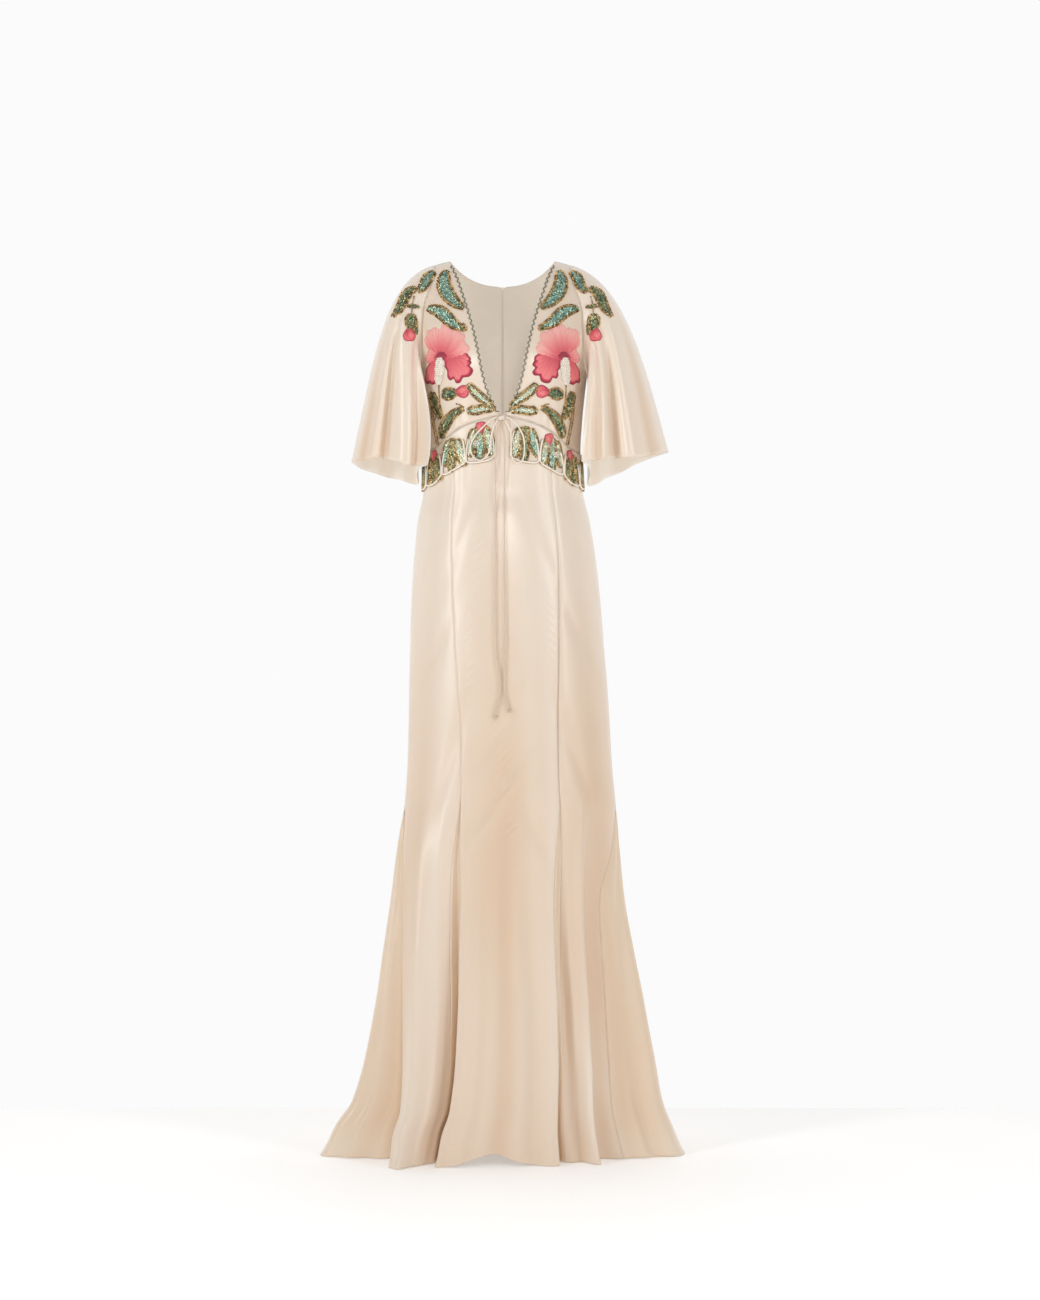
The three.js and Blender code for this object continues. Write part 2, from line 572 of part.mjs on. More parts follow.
function addBand() {
  const offsets = { outer: LAID + BAND_WALL, inner: LAID };
  for (const [side, word] of [[-1, 'left'], [1, 'right']]) {
    const half = LOBES / 2;
    for (const [place, start] of [['front', 0], ['back', half]]) {
      const columns = span(half * 6).map((t) => start + half * t);
      const trim = { left: HALF_GAP, right: HALF_GAP };
      add(`band_${place}_${word}`, clothWall(bandPoint(side), columns, [0, 0.3, 0.65, 1], { ...offsets, facing: side, trim }), LEAF);
    }
  }
}

function addTie() {
  const lift = LAID + BAND_WALL + LAID + CORD / 2;
  add('tie_knot', bead([KNOT.wide, KNOT.deep, KNOT.tall], inFront(KNOT.x, KNOT.h, KNOT.lift), 10), SATIN);
  add('tie_loop_left', cord(LOOP_LEFT, lift + 0.6), SATIN);
  add('tie_loop_right', cord(LOOP_RIGHT, lift + 0.6), SATIN);
  add('tie_tail_left', cord(TAIL_LEFT, lift), SATIN);
  add('tie_tail_right', cord(TAIL_RIGHT, lift), SATIN);
  for (const [word, route] of [['left', TAIL_LEFT], ['right', TAIL_RIGHT]]) {
    const [[x0, h0], [x1, h1]] = route.slice(-2);
    const reach = (END_KNOT + LAID) / hypot(x1 - x0, h1 - h0);
    const centre = inFront(x1 + (x1 - x0) * reach, h1 + (h1 - h0) * reach, lift + 0.4);
    add(`tie_end_${word}`, bead([END_KNOT, END_KNOT, END_KNOT], centre, 8), SATIN);
  }
}

addSkirt();
addBodice();
addSleeves();
addBand();
addTie();

export default gown;
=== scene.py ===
# The looks of a worn v-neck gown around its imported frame: satin shells in the form of the gown's
# panels, its tie, its scalloped band and its embroidery. Tables are in millimetres, as heights
# above the floor; every object is in metres, in the frame's own axes.
import math

import bpy
import numpy as np
from mathutils.kdtree import KDTree
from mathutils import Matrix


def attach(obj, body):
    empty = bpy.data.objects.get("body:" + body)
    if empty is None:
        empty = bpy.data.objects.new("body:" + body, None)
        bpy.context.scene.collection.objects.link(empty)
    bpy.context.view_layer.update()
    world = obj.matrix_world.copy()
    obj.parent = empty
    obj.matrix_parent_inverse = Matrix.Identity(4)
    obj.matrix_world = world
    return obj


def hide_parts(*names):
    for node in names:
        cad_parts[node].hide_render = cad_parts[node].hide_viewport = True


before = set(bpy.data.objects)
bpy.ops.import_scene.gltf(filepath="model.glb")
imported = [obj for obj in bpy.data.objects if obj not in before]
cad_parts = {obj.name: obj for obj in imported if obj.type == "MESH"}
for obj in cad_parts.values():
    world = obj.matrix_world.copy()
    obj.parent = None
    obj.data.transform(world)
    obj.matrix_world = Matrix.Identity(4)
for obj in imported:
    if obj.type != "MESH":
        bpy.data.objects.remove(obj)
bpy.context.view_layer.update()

SEED = 11
RAD = math.pi / 180
METRES = 0.001
SIDES = ((-1, "left"), (1, "right"))
# Heights of the shoulder, the side waist, the underarm and the godets' tops
SHOULDER, WAIST, UNDERARM, APEX = 1511.0, 1183.0, 1316, 600.0
# The satin's wall, the tie's cord, the gap under what is laid on the cloth, and the band's wall
CLOTH, CORD, LAID, BAND_WALL = 1.0, 2.6, 0.35, 1.2
# The band's lobes a side, the turns where they start and end, and what a notch leaves of the depth
LOBES, LOBE_START, LOBE_END, LOBE_NOTCH = 8, 5.3, 178.8, 0.86
LOBE_PITCH = (LOBE_END - LOBE_START) / LOBES
rng = np.random.default_rng(SEED)


def mix(a, b, t):
    return a + (b - a) * t


def clamp(value):
    return np.clip(value, 0, 1)


def ease(t):
    t = clamp(t)
    return t * t * (3 - 2 * t)


def hump(value, centre, wide):
    """A smooth bump of height 1 at the centre."""
    return np.exp(-(((value - centre) / wide) ** 2))


def run_of(*coordinates):
    """The run along a line of points, from 0, at each of them."""
    steps = np.linalg.norm(np.diff(np.stack(coordinates, -1), axis=0), axis=1)
    return np.concatenate([[0], np.cumsum(steps)])


class Table:
    """Named columns over a rising first column, read smoothly with no overshoot."""

    def __init__(self, names, *rows):
        self.names = names.split()
        self.rows = np.array(rows, float)
        x, y = self.rows[:, :1], self.rows
        slope = np.diff(y, axis=0) / np.diff(x, axis=0)
        before, after = slope[:-1], slope[1:]
        with np.errstate(divide="ignore", invalid="ignore"):
            inner = np.where(before * after > 0, 2 * before * after / (before + after), 0)
        self.tilt = np.vstack([slope[:1], inner, slope[-1:]])

    def __call__(self, column, at):
        keys = self.rows[:, 0]
        at = np.clip(np.asarray(at, float), keys[0], keys[-1])
        row = np.clip(np.searchsorted(keys, at, side="right") - 1, 0, len(keys) - 2)
        k = self.names.index(column)
        width = keys[row + 1] - keys[row]
        t = (at - keys[row]) / width
        t2, t3 = t * t, t * t * t
        a, b = self.rows[row, k], self.rows[row + 1, k]
        bend = self.tilt[row, k] * (t3 - 2 * t2 + t) + self.tilt[row + 1, k] * (t3 - t2)
        return a * (2 * t3 - 3 * t2 + 1) + b * (3 * t2 - 2 * t3) + width * bend


# Body sections: half width, its middle, and the depths before and behind it
BODY = Table(
    "h shift half mid front back",
    (0, 0, 302, 32, 150, 292),
    (20, 1, 291, 30, 149, 286),
    (50, 2, 277, 28, 147, 276),
    (92, 8, 254, 24, 143, 258),
    (177, 12, 234, 18, 137, 228),
    (261, 12, 219, 12, 130, 200),
    (346, 10, 206, 6, 122, 176),
    (430, 9, 194, 2, 116, 152),
    (515, 10, 186, -2, 112, 136),
    (600, 13, 178, -3, 110, 126),
    (684, 12, 172, -4, 110, 122),
    (785, 10, 168, -4, 114, 126),
    (885, 7, 163, -4, 116, 130),
    (949, 5.5, 159, -5, 114, 128),
    (1013, 4, 153, -6, 111, 120),
    (1072, 2, 145, -8, 104, 106),
    (1125, 1, 134, -8, 96, 91),
    (1190, 0, 132, -8, 97, 90),
    (1240, 0, 135, -8, 100, 94),
    (1290, 0, 140, -6, 104, 98),
    (1340, 0, 146, -4, 104, 101),
    (1390, 0, 151, -3, 96, 98),
    (1430, 0, 154, -2, 82, 88),
    (1465, 0, 153, -1, 62, 68),
    (1490, 0, 151, 0, 40, 44),
    (1503, 0, 150, 0, 22, 24),
    (1511, 0, 150, 0, 2.4, 2.4),
)
CUP_X, CUP_H, CUP_WIDE, CUP_TALL, CUP_RISE = 74, 1328, 46, 50, 17
# The shoulder seam's fall from the neck point out, over a run, from the height where it starts
SEAM_FALL, SEAM_HALF, NECK_POINT, SEAM_RUN, FALL_FROM, FALL_OVER = 6, 150, 89, 23, 1400, 100
UNDER_BUST = Table(
    "turn h", (0, 1240), (17, 1232), (33, 1220), (46, 1204), (60, 1189), (80, 1183), (180, 1185)
)
V_BASE = 1243
NECK = Table(
    "h x", (V_BASE, 1.5), (1250, 9), (1264, 15), (1286, 25), (1311, 31.5), (1343, 38),
    (1377, 45), (1412, 54), (1451, 66), (1476, 74), (1511, 89),
)
NECK_TURN = 36.4
BACK_NECK = 1476
ARMHOLE = Table(
    "along h before behind",
    (0, 1505, 48.5, 131.5),
    (0.18, 1471, 51, 129),
    (0.36, 1436, 57, 124),
    (0.56, 1392, 62.5, 118),
    (0.75, 1350, 68, 112),
    (0.9, 1324, 77, 103),
    (1, UNDERARM, 90, 90),
)

# Skirt fold lines from the front to the back: turn at the godet tops and at the hem, and how far
# each stands out at the hem
FOLDS_RIGHT = [
    (0, 0, -13), (12, 8, -14), (21, 16.5, -7), (24.2, 18.6, -10), (27.6, 19.8, -50),
    (31.2, 21.2, -40), (37, 27, -26), (42, 32.5, -4), (49, 36, -46), (60, 46, -30),
    (74, 59, -8), (84, 72, 14), (93, 84, 3), (101, 94, -8), (112, 106, 12),
    (122, 117, -16), (133, 128, 14), (143, 138, -6), (148, 142, -40), (153, 146, -8),
    (163, 157, 16), (172, 169, -8), (180, 180, 10),
]
FOLDS_LEFT = [
    (0, 0, -13), (12, 9.6, -13), (21.4, 18.2, 0), (24.2, 21.4, 5), (28.2, 22.6, -46),
    (33, 23.8, -20), (40, 29, 10), (55, 32.5, 34), (69, 36, 26), (74, 39, -42),
    (80, 50, -22), (86, 62, 0), (92, 73, 14), (100, 88, -4), (110, 102, 10),
    (121, 114, -14), (132, 126, 16), (142, 137, -4), (147, 141, -42), (152, 145.5, -10),
    (161, 155, 12), (171, 167, -6), (180, 180, 10),
]
LAST_FOLD = 22
# Each godet's lips, as fold rows, and its seam's turn above it; then the seams' turns at the waist
GODETS = {"front": ((3, 5), 27.6), "side": ((9, 13), 87), "back": ((17, 19), 148)}
SEAM_STOPS = ((0, 27.6, 87, 148, 180), (0, 38, 90, 142, 180))
# Where each godet closes into its seam, below its top
CLOSING = 170
# The lift of the hem at the front: its turn, spread and rise
LIFT_TURN, LIFT_WIDE, LIFT_RISE = -3.5, 8.5, 19


def body(turn, height, out=0.0):
    """A point of the body's cloth, in millimetres from the origin."""
    s, c = np.sin(turn * RAD), np.cos(turn * RAD)
    outward = clamp((np.abs(s) * SEAM_HALF - NECK_POINT) / SEAM_RUN)
    deep = np.minimum(height + SEAM_FALL * outward * ease((height - FALL_FROM) / FALL_OVER), SHOULDER)
    half = BODY("half", height)
    depth = np.where(c > 0, BODY("front", deep), BODY("back", deep))
    x = half * s
    cup = CUP_RISE * hump(np.abs(x), CUP_X, CUP_WIDE) * hump(height, CUP_H, CUP_TALL) * clamp(3 * c)
    nx, ny = s / half, -c / depth
    length = np.hypot(nx, ny)
    across = BODY("shift", height) + x + out * nx / length
    deep = BODY("mid", height) - depth * c - cup + out * ny / length
    return np.stack([across, deep, height - SHOULDER + 0 * x], -1)


def under_bust(turn):
    return UNDER_BUST("h", np.abs(turn))


def turn_at(x, height):
    return np.arcsin(np.clip(x / BODY("half", height), -1, 1)) / RAD


def unit(v):
    return v / np.maximum(np.linalg.norm(v, axis=-1, keepdims=True), 1e-12)


def body_normal(turn, height):
    across = body(turn + 0.1, height) - body(turn - 0.1, height)
    up = body(turn, height) - body(turn, height - 0.2)
    return unit(np.cross(across, up))


def in_front(x, height, lift):
    """The cloth's point seen at x and height from the front, moved out by lift."""
    turn = turn_at(x - BODY("shift", height), height)
    return body(turn, height) + body_normal(turn, height) * lift


# Skirt
def waist_turn(top):
    return np.sign(top) * np.interp(np.abs(top), *SEAM_STOPS)


def fold_columns():
    """The fold lines' columns by place, from the back centre round the left to the back centre."""
    rows = []
    for place in range(-LAST_FOLD, LAST_FOLD + 1):
        side, folds = (-1, FOLDS_LEFT) if place < 0 else (1, FOLDS_RIGHT)
        top, hem, out = folds[abs(place)]
        seam = [turn for (first, last), turn in GODETS.values() if first <= abs(place) <= last]
        rows.append((side * top, side * hem, out, side * seam[0] if seam else math.nan))
    return np.array(rows).T


FOLD_TOP, FOLD_HEM, FOLD_OUT, FOLD_SEAM = fold_columns()


def fold_turn(index, nominal):
    top, hem, seam = FOLD_TOP[index], FOLD_HEM[index], FOLD_SEAM[index]
    in_godet = ~np.isnan(seam)
    seam = np.where(in_godet, seam, top)
    low = mix(hem, top, nominal / APEX)
    low = np.where(in_godet, mix(low, seam, ease((nominal - APEX + CLOSING) / CLOSING)), low)
    high = mix(seam, waist_turn(seam), ease((nominal - APEX) / (WAIST - APEX)))
    return np.where(nominal < APEX, low, high)


def fold_place(place, nominal):
    """The fold line before a place, the share of the way to the next one, and the turn there."""
    index = np.clip(np.floor(place + LAST_FOLD).astype(int), 0, 2 * LAST_FOLD - 1)
    part = place + LAST_FOLD - index
    return index, part, mix(fold_turn(index, nominal), fold_turn(index + 1, nominal), part)


# Soft drags on the skirt: turn and height of the middle, length, spread, lean, depth
DRAGS = [
    (-4, 640, 95, 9, 0.5, -2.6), (5, 612, 80, 7, 0.35, -2.0), (-9, 586, 70, 6, 0.55, 1.8),
    (-6, 716, 60, 6, 0.6, -1.6), (13, 560, 90, 8, -0.4, -1.8), (-33, 690, 120, 9, 0.3, -2.0),
    (36, 700, 130, 10, -0.35, -2.2), (-50, 830, 90, 9, 0.5, -1.6), (52, 850, 95, 9, -0.5, -1.8),
    (-28, 1040, 70, 8, 0.4, -1.2), (24, 1020, 75, 8, -0.4, -1.2), (-66, 960, 90, 9, 0.6, -1.6),
    (70, 940, 95, 9, -0.6, -1.8), (170, 700, 120, 10, 0.4, -2.4), (-165, 660, 120, 10, -0.4, -2.4),
    (150, 880, 100, 9, 0.5, -1.8), (-150, 900, 95, 9, -0.5, -1.8), (110, 760, 120, 9, 0.4, -2.0),
    (-112, 780, 110, 9, -0.4, -2.0), (176, 1060, 60, 8, 0.3, -1.4), (-172, 1090, 50, 8, -0.4, -1.4),
]
# Soft folds down the lower skirt: turn, spread, depth out, and the height where they start
SOFT_FOLDS = [
    (-1.5, 3.6, -9, 640), (5.0, 3.0, 4, 560), (10.5, 3.2, -5, 600), (-7.5, 3.4, 5, 620), (-13.5, 2.6, 6, 640),
    (-27, 2.6, -4, 520), (-31, 3.0, 4, 520), (27, 2.4, -7, 640), (22.4, 2.4, 5, 640), (32, 3.2, 3, 560),
    (-58, 8, -6, 540), (-72, 8, 5, 520), (62, 8, -8, 560), (78, 8, 6, 540), (105, 8, -6, 560),
    (124, 8, 6, 560), (-104, 8, -6, 560), (-125, 8, 6, 560), (158, 9, -6, 600), (-160, 9, -6, 600),
]
# Patches of small slanting creases: turn and height of the middle, spreads, slant and depth
CREASES = [
    (-3, 640, 3.4, 42, 1.5, 1.5), (-9, 742, 3.0, 22, 1.3, 1.0), (-17, 1010, 2.6, 60, 1.0, 0.8),
    (-22, 860, 2.6, 70, 0.9, 0.8), (27.6, 880, 2.4, 70, -0.9, 0.6), (1, 560, 3.0, 26, 1.4, 0.8),
]
# Millimetres a degree of turn in a drag, and radians a millimetre along a patch of creases
TURN_RUN, CREASE_PACE = 2.6, 0.42
# How deep the front seams' grooves, the gathers under the band and the hem's ripples are
GROOVE, GATHER, RIPPLE = 1.9, 0.8, 1.2
RIPPLE_TOP = 560


def skirt_relief(turn, height):
    """Fine drags, soft folds and ripples of the skirt's cloth, in millimetres out."""
    relief = 0 * turn
    for middle, wide, deep, top in SOFT_FOLDS:
        reach = ease((top - height) / top) ** 0.8
        relief = relief + deep * reach * hump(turn, middle, wide * (0.8 + 0.3 * reach))
    for middle, h, long, wide, lean, deep in DRAGS:
        across = (turn - middle) * TURN_RUN - lean * (height - h)
        relief = relief + deep * hump(across, 0, wide * 1.5) * hump(height, h, long)
    for middle, h, wide, tall, lean, deep in CREASES:
        mask = hump(turn, middle, wide) * hump(height, h, tall)
        relief = relief + deep * mask * np.sin((height - h) * CREASE_PACE - lean * (turn - middle))
    seam = mix(GODETS["front"][1], SEAM_STOPS[1][1], ease((height - APEX) / (WAIST - APEX)))
    groove = hump(turn, seam, 1.2) * ease((1120 - height) / 260) * ease((height - 520) / 160)
    gather = np.sin(turn * 0.8 + 0.6) * hump(np.abs(turn), 40, 15) * np.exp(-clamp((1200 - height) / 300) * 5)
    relief = relief - GROOVE * groove + GATHER * gather
    low = clamp((RIPPLE_TOP - height) / RIPPLE_TOP)
    ripple = np.sin(turn * 0.31 + 0.9) + 0.6 * np.sin(turn * 0.53 + 2.1 + height * 0.004)
    return relief + RIPPLE * low * ripple * clamp((180 - np.abs(turn)) / 20)


def skirt(place, rise):
    """A point of the skirt: place counts fold lines from the front centre, negative to the left."""
    nominal = rise * 2 * APEX
    index, part, turn = fold_place(place, nominal)
    out = mix(FOLD_OUT[index], FOLD_OUT[index + 1], 0.5 - 0.5 * np.cos(np.pi * part))
    lift = 1 + LIFT_RISE * hump(turn, LIFT_TURN, LIFT_WIDE) * clamp(1 - rise * 3)
    height = mix(lift, under_bust(turn), rise)
    growth = np.maximum(0, 1 - nominal / APEX) ** 0.8
    return body(turn, height, out * growth + skirt_relief(turn, height))


# Painted highlights, where the satin stays pale: turn, spread and how much
PAINTED_HIGHLIGHTS = ((-40, 10, 1), (12, 5, 0.5), (24, 5, 0.9), (50, 14, 0.2))
# Patches of painted shade, more peach, and of painted highlight, less peach: how much, turn and its spread,
# share of the rise and its spread
SHADE_AND_LIGHT_PATCHES = (
    (0.2, -4, 15, 0.75, 0.2), (0.34, -4, 15, 0.4, 0.17),
    (0.28, 52, 18, 0.55, 0.25), (-0.5, 38, 12, 0.1, 0.09),
)


def skirt_warmth(place, rise):
    """How much painted shade the satin has, which turns it peach: more in its folds, at its sides and lower
    down, less under painted highlights.
    """
    nominal = rise * 2 * APEX
    index, part, turn = fold_place(place, nominal)
    out = mix(FOLD_OUT[index], FOLD_OUT[index + 1], part)
    # Painted shade lower down, in the fold lines' valleys, in the relief's dips and at the sides; painted
    # highlight in pale stripes
    low = ease((0.96 - rise) / 0.55)
    valley = clamp(-(out + 10) / 30) * clamp(1.1 - 2 * rise)
    dip = clamp(-skirt_relief(turn, nominal) / 9)
    side = ease((np.abs(turn + 3) - 24) / 40)
    highlight = sum(much * hump(turn, at, wide) for at, wide, much in PAINTED_HIGHLIGHTS)
    patches = sum(much * hump(turn, at, wide) * hump(rise, up, tall) for much, at, wide, up, tall in SHADE_AND_LIGHT_PATCHES)
    # A painted highlight along the hem, away from the front
    gleam = 0.25 * hump(rise, 0.01, 0.03) * ease((np.abs(turn + 4) - 30) / 20)
    shade_and_tone = 0.2 + low * (0.34 + 0.16 * side - 0.26 * highlight) + 0.45 * valley + 0.35 * dip
    return shade_and_tone + patches - gleam


# Bodice
# Shares of a front's or back's rise where the side seam ends, and where the back neck starts
SIDE_SHARE, BACK_SHARE = 0.34, 0.78


def outer_edge(share, column):
    along = 1 - (share - SIDE_SHARE) / (1 - SIDE_SHARE)
    side = share < SIDE_SHARE
    turn = np.where(side, 90.0, ARMHOLE(column, along))
    return turn, np.where(side, mix(WAIST, UNDERARM, share / SIDE_SHARE), ARMHOLE("h", along))


def front_edge(share):
    h = mix(V_BASE, SHOULDER, share)
    return turn_at(NECK("x", h), h), h


def back_edge(share):
    part = clamp((share - BACK_SHARE) / (1 - BACK_SHARE))
    h = np.where(share < BACK_SHARE, mix(WAIST + 2, BACK_NECK, share / BACK_SHARE), 0)
    return 180 - NECK_TURN * part, np.where(share < BACK_SHARE, h, mix(BACK_NECK, SHOULDER, part**2.2))


def bodice(side, inner, column):
    def point(across, share):
        (turn0, h0), (turn1, h1) = inner(share), outer_edge(share, column)
        turn, straight = mix(turn0, turn1, across), mix(h0, h1, across)
        low = mix(inner(0.0 * share)[1], WAIST, across)
        h = straight + (under_bust(turn) - low) * (1 - share) ** 3
        return body(side * turn, h, bodice_relief(side, turn, h))

    return point


def bodice_relief(side, turn, h):
    """Gathers that run up from the under-bust seam, and a drag from the underarm."""
    above = h - under_bust(turn)
    gather = np.sin(turn * 0.62 + side) * hump(turn, 38, 17) * clamp(above / 6) * np.exp(-above / 34)
    drag = hump((turn - 66) * 1.4 + (h - 1335) * 0.35, 0, 9) * hump(h, 1335, 55)
    return 1.1 * gather - 1.6 * drag


# Sleeves: hem loops by turn round the arm from the outside through the front and the underarm
HEM_LEFT = Table(
    "turn x y h lean rise",
    (0, 256, 4, 1171, -42, 195), (25, 240, -44, 1170, -34, 170), (50, 206, -70, 1174, -20, 140),
    (75, 178, -80, 1166, -8, 120), (100, 150, -92, 1159, -8, 105), (125, 125, -94, 1159, -20, 95),
    (150, 139, -52, 1156, 0, 70), (180, 145, -3, 1148, 0, 60), (210, 143, 42, 1138, 0, 60),
    (240, 148, 78, 1138, 0, 80), (270, 172, 86, 1146, -4, 110), (300, 206, 78, 1152, -20, 140),
    (330, 240, 48, 1162, -34, 170), (360, 256, 4, 1171, -42, 195),
)
HEM_RIGHT = Table(
    "turn x y h lean rise",
    (0, 281, 4, 1188, -48, 185), (25, 262, -44, 1180, -38, 165), (50, 224, -72, 1173, -24, 140),
    (75, 190, -86, 1172, -8, 120), (100, 158, -94, 1168, 0, 105), (125, 131, -94, 1166, 4, 95),
    (150, 143, -52, 1160, 0, 70), (180, 148, -3, 1150, 0, 60), (210, 145, 44, 1136, 0, 60),
    (240, 150, 80, 1136, 0, 80), (270, 178, 90, 1150, -4, 110), (300, 216, 82, 1164, -24, 140),
    (330, 256, 52, 1182, -38, 165), (360, 281, 4, 1188, -48, 185),
)
FLUTES = {
    -1: [(56, 8, 19), (109, 8, 19), (262, 14, 15), (308, 14, 13), (28, 8, 6), (82, 9, -4), (128, 8, -3)],
    1: [(77, 7, 21), (103, 7, 11), (258, 14, 15), (305, 15, 13), (30, 8, 8), (91, 6, -5), (54, 10, -4)],
}
HOLE_MIDDLE = np.array([146, 0, 1412 - SHOULDER])


def armhole(turn):
    about = np.mod(turn, 360)
    before = about <= 180
    along = np.where(before, about, 360 - about) / 180
    return np.where(before, ARMHOLE("before", along), ARMHOLE("behind", along)), ARMHOLE("h", along)


def sleeve(side):
    hem = HEM_LEFT if side < 0 else HEM_RIGHT

    def point(turn, fall):
        about = np.mod(turn, 360)
        edge = body(*armhole(about))
        run = unit(body(*armhole(about + 0.5)) - body(*armhole(about - 0.5)))
        out = body_normal(*armhole(about))
        away = unit(np.cross(run, out))
        away = away * np.sign(((HOLE_MIDDLE - edge) * away).sum(-1, keepdims=True))
        under = np.minimum(about, 360 - about) / 180
        bend = (145 * RAD * under)[..., None]
        leave = away * np.cos(bend) + out * np.sin(bend)
        start = edge + away * (0.3 * np.cos(bend / 2) + 0.2) + out * 0.5 * np.sin(bend / 2)
        end = np.stack([hem("x", about), hem("y", about), hem("h", about) - SHOULDER], -1)
        first = start + leave * mix(86, 22, ease(under * 1.3))[..., None]
        first[..., 2] -= 20 * (1 - ease(under * 3.2))
        second = end + np.stack([hem("lean", about), 0 * about, hem("rise", about)], -1)
        t = fall[..., None]
        p = start * (1 - t) ** 3 + 3 * first * t * (1 - t) ** 2 + 3 * second * t * t * (1 - t) + end * t**3
        inward = np.stack([mix(HOLE_MIDDLE[0], 195, fall) - p[..., 0], -p[..., 1], 0 * fall], -1)
        dip = sum(deep * hump(about, at, wide) for at, wide, deep in FLUTES[side])
        p = p + unit(inward) * (dip * ease((fall - 0.1) / 0.9))[..., None]
        p[..., 0] *= side
        return p

    return point


# Scalloped band: a lobe's length at the front and past the turn where it has shortened
LOBE_LENGTHS, LOBE_SHORTENS = (71, 60), 60


def band(side):
    def point(place, drop, out=0.0):
        turn = LOBE_START + LOBE_PITCH * place
        lobe = place - np.floor(np.minimum(place, LOBES - 1e-6))
        arc = clamp(1 - np.abs(2 * lobe - 1) ** 2.6) ** 0.5
        length = mix(*LOBE_LENGTHS, ease(turn / LOBE_SHORTENS)) * mix(LOBE_NOTCH, 1, arc)
        h = under_bust(turn) - length * (1 - drop) - 1
        return body(side * turn, h) + body_normal(side * turn, h) * out

    return point


# Tie routes, as x and height along the cloth's front
KNOT_X, KNOT_H, KNOT_LIFT = -2, 1236, 5.6
LOOP_LEFT = [
    (-8.4, 1237), (-17, 1234), (-30, 1222), (-44, 1206), (-51, 1188), (-47, 1173), (-36, 1166),
    (-25, 1173), (-19, 1188), (-18, 1206), (-13, 1222), (-7.6, 1232.2),
]
LOOP_RIGHT = [
    (4.4, 1237), (13, 1234), (26, 1220), (33, 1205), (35, 1184), (33.4, 1171), (30.6, 1164.6),
    (24.2, 1161.4), (17.8, 1164.6), (14.9, 1171), (13.8, 1190), (13.5, 1208), (9, 1222), (3.6, 1232.2),
]
TAIL_LEFT = [
    (-4, 1231.4), (-9, 1212), (-11, 1180), (-11.5, 1150), (-11, 1090), (-11, 1020), (-11.5, 950),
    (-11, 880), (-9, 840), (-3.5, 806), (-5, 776), (-12, 745),
]
TAIL_RIGHT = [
    (0, 1231.4), (2.5, 1210), (3.4, 1170), (3.4, 1120), (3.2, 1050), (3.4, 980), (4.5, 900),
    (4.8, 860), (3.2, 820), (3.6, 785), (7, 768), (10.6, 755),
]
# The middle of an end knot past its tail's end, the rise over the embroidery, and a cord's steps
END_KNOT, EMBROIDERED, CORD_STEP = 2.4, 2.8, 2.2


# Mesh making
def mesh_object(name, points, faces, material, **fields):
    """A smooth mesh piece; each field is one number a point, which its look reads by name."""
    mesh = bpy.data.meshes.new(name)
    mesh.from_pydata((np.asarray(points) * METRES).tolist(), [], faces)
    for key, values in fields.items():
        layer = mesh.attributes.new(key, "FLOAT", "POINT")
        layer.data.foreach_set("value", np.asarray(values, np.float32).ravel())
    mesh.polygons.foreach_set("use_smooth", [True] * len(mesh.polygons))
    mesh.materials.append(material)
    piece = bpy.data.objects.new(name, mesh)
    bpy.context.collection.objects.link(piece)
    return piece


def grid_normals(grid, closed):
    u = np.roll(grid, -1, 1) - np.roll(grid, 1, 1) if closed else np.gradient(grid, axis=1)
    return unit(np.cross(u, np.gradient(grid, axis=0)))


def grid_faces(rows, columns, closed=False):
    """The quads of a grid of points, rows by columns; a closed one joins its last column to its first."""
    i, j = np.meshgrid(np.arange(columns if closed else columns - 1), np.arange(rows - 1))
    after = (i + 1) % columns
    corners = (j * columns + i, j * columns + after, (j + 1) * columns + after, (j + 1) * columns + i)
    return np.stack(corners, -1).reshape(-1, 4)


# Over what width a seam's edge rolls under, and the turned-up hem's thickness, depth and edge
SEAM_WIDE = 2.2
HEM_TURN, HEM_DEEP, HEM_STEP = 0.45, 8.0, 2.5


def shell_faces(rows, columns, closed):
    """The quads of a shell: its outer side, its inner side and the strips round its edges."""
    under = rows * columns
    number = np.arange(under).reshape(rows, columns)
    if closed:
        number = np.append(number, number[:, :1], 1)
    edges = [(number[0], 1), (number[-1], -1)]
    if not closed:
        edges += [(number[:, 0], -1), (number[:, -1], 1)]
    over = grid_faces(rows, columns, closed)
    quads = [over, over[:, [0, 3, 2, 1]] + under]
    for line, order in edges:
        e, f = line[:-1], line[1:]
        quads.append(np.stack([f, e, e + under, f + under], -1)[:, ::order])
    return np.concatenate(quads)


def shell(name, grid, material, warm, facing=1, closed=False, outer=0.0, inner=-CLOTH, seam=0.0,
          hem=None):
    """A closed thin shell over a grid of points, rows by columns, with rolled seam edges."""
    rows, columns = grid.shape[:2]
    normal = grid_normals(grid, closed) * facing
    roll = np.zeros((rows, columns))
    if seam:
        step = np.linalg.norm(np.diff(grid, axis=1), axis=-1)
        run = np.concatenate([np.zeros((rows, 1)), np.cumsum(step, 1)], 1)
        roll = -seam * hump(np.minimum(run, run[:, -1:] - run), 0, SEAM_WIDE)
    if hem is not None:
        drop = np.linalg.norm(grid - grid[hem], axis=-1)
        roll = roll + HEM_TURN * ease((HEM_DEEP - drop) / HEM_STEP + 1)
    sheets = [grid + normal * (side + roll)[..., None] for side in (outer, inner)]
    faces = shell_faces(rows, columns, closed)[:, ::facing]
    points = np.concatenate(sheets).reshape(-1, 3)
    warm = np.tile(np.broadcast_to(warm, (rows, columns)).ravel(), 2)
    piece = mesh_object(name, points, faces.tolist(), material, warm=warm)
    piece.data.materials.append(LINING)
    inside = (faces >= rows * columns).all(1).astype(int)
    piece.data.polygons.foreach_set("material_index", inside.tolist())
    return piece


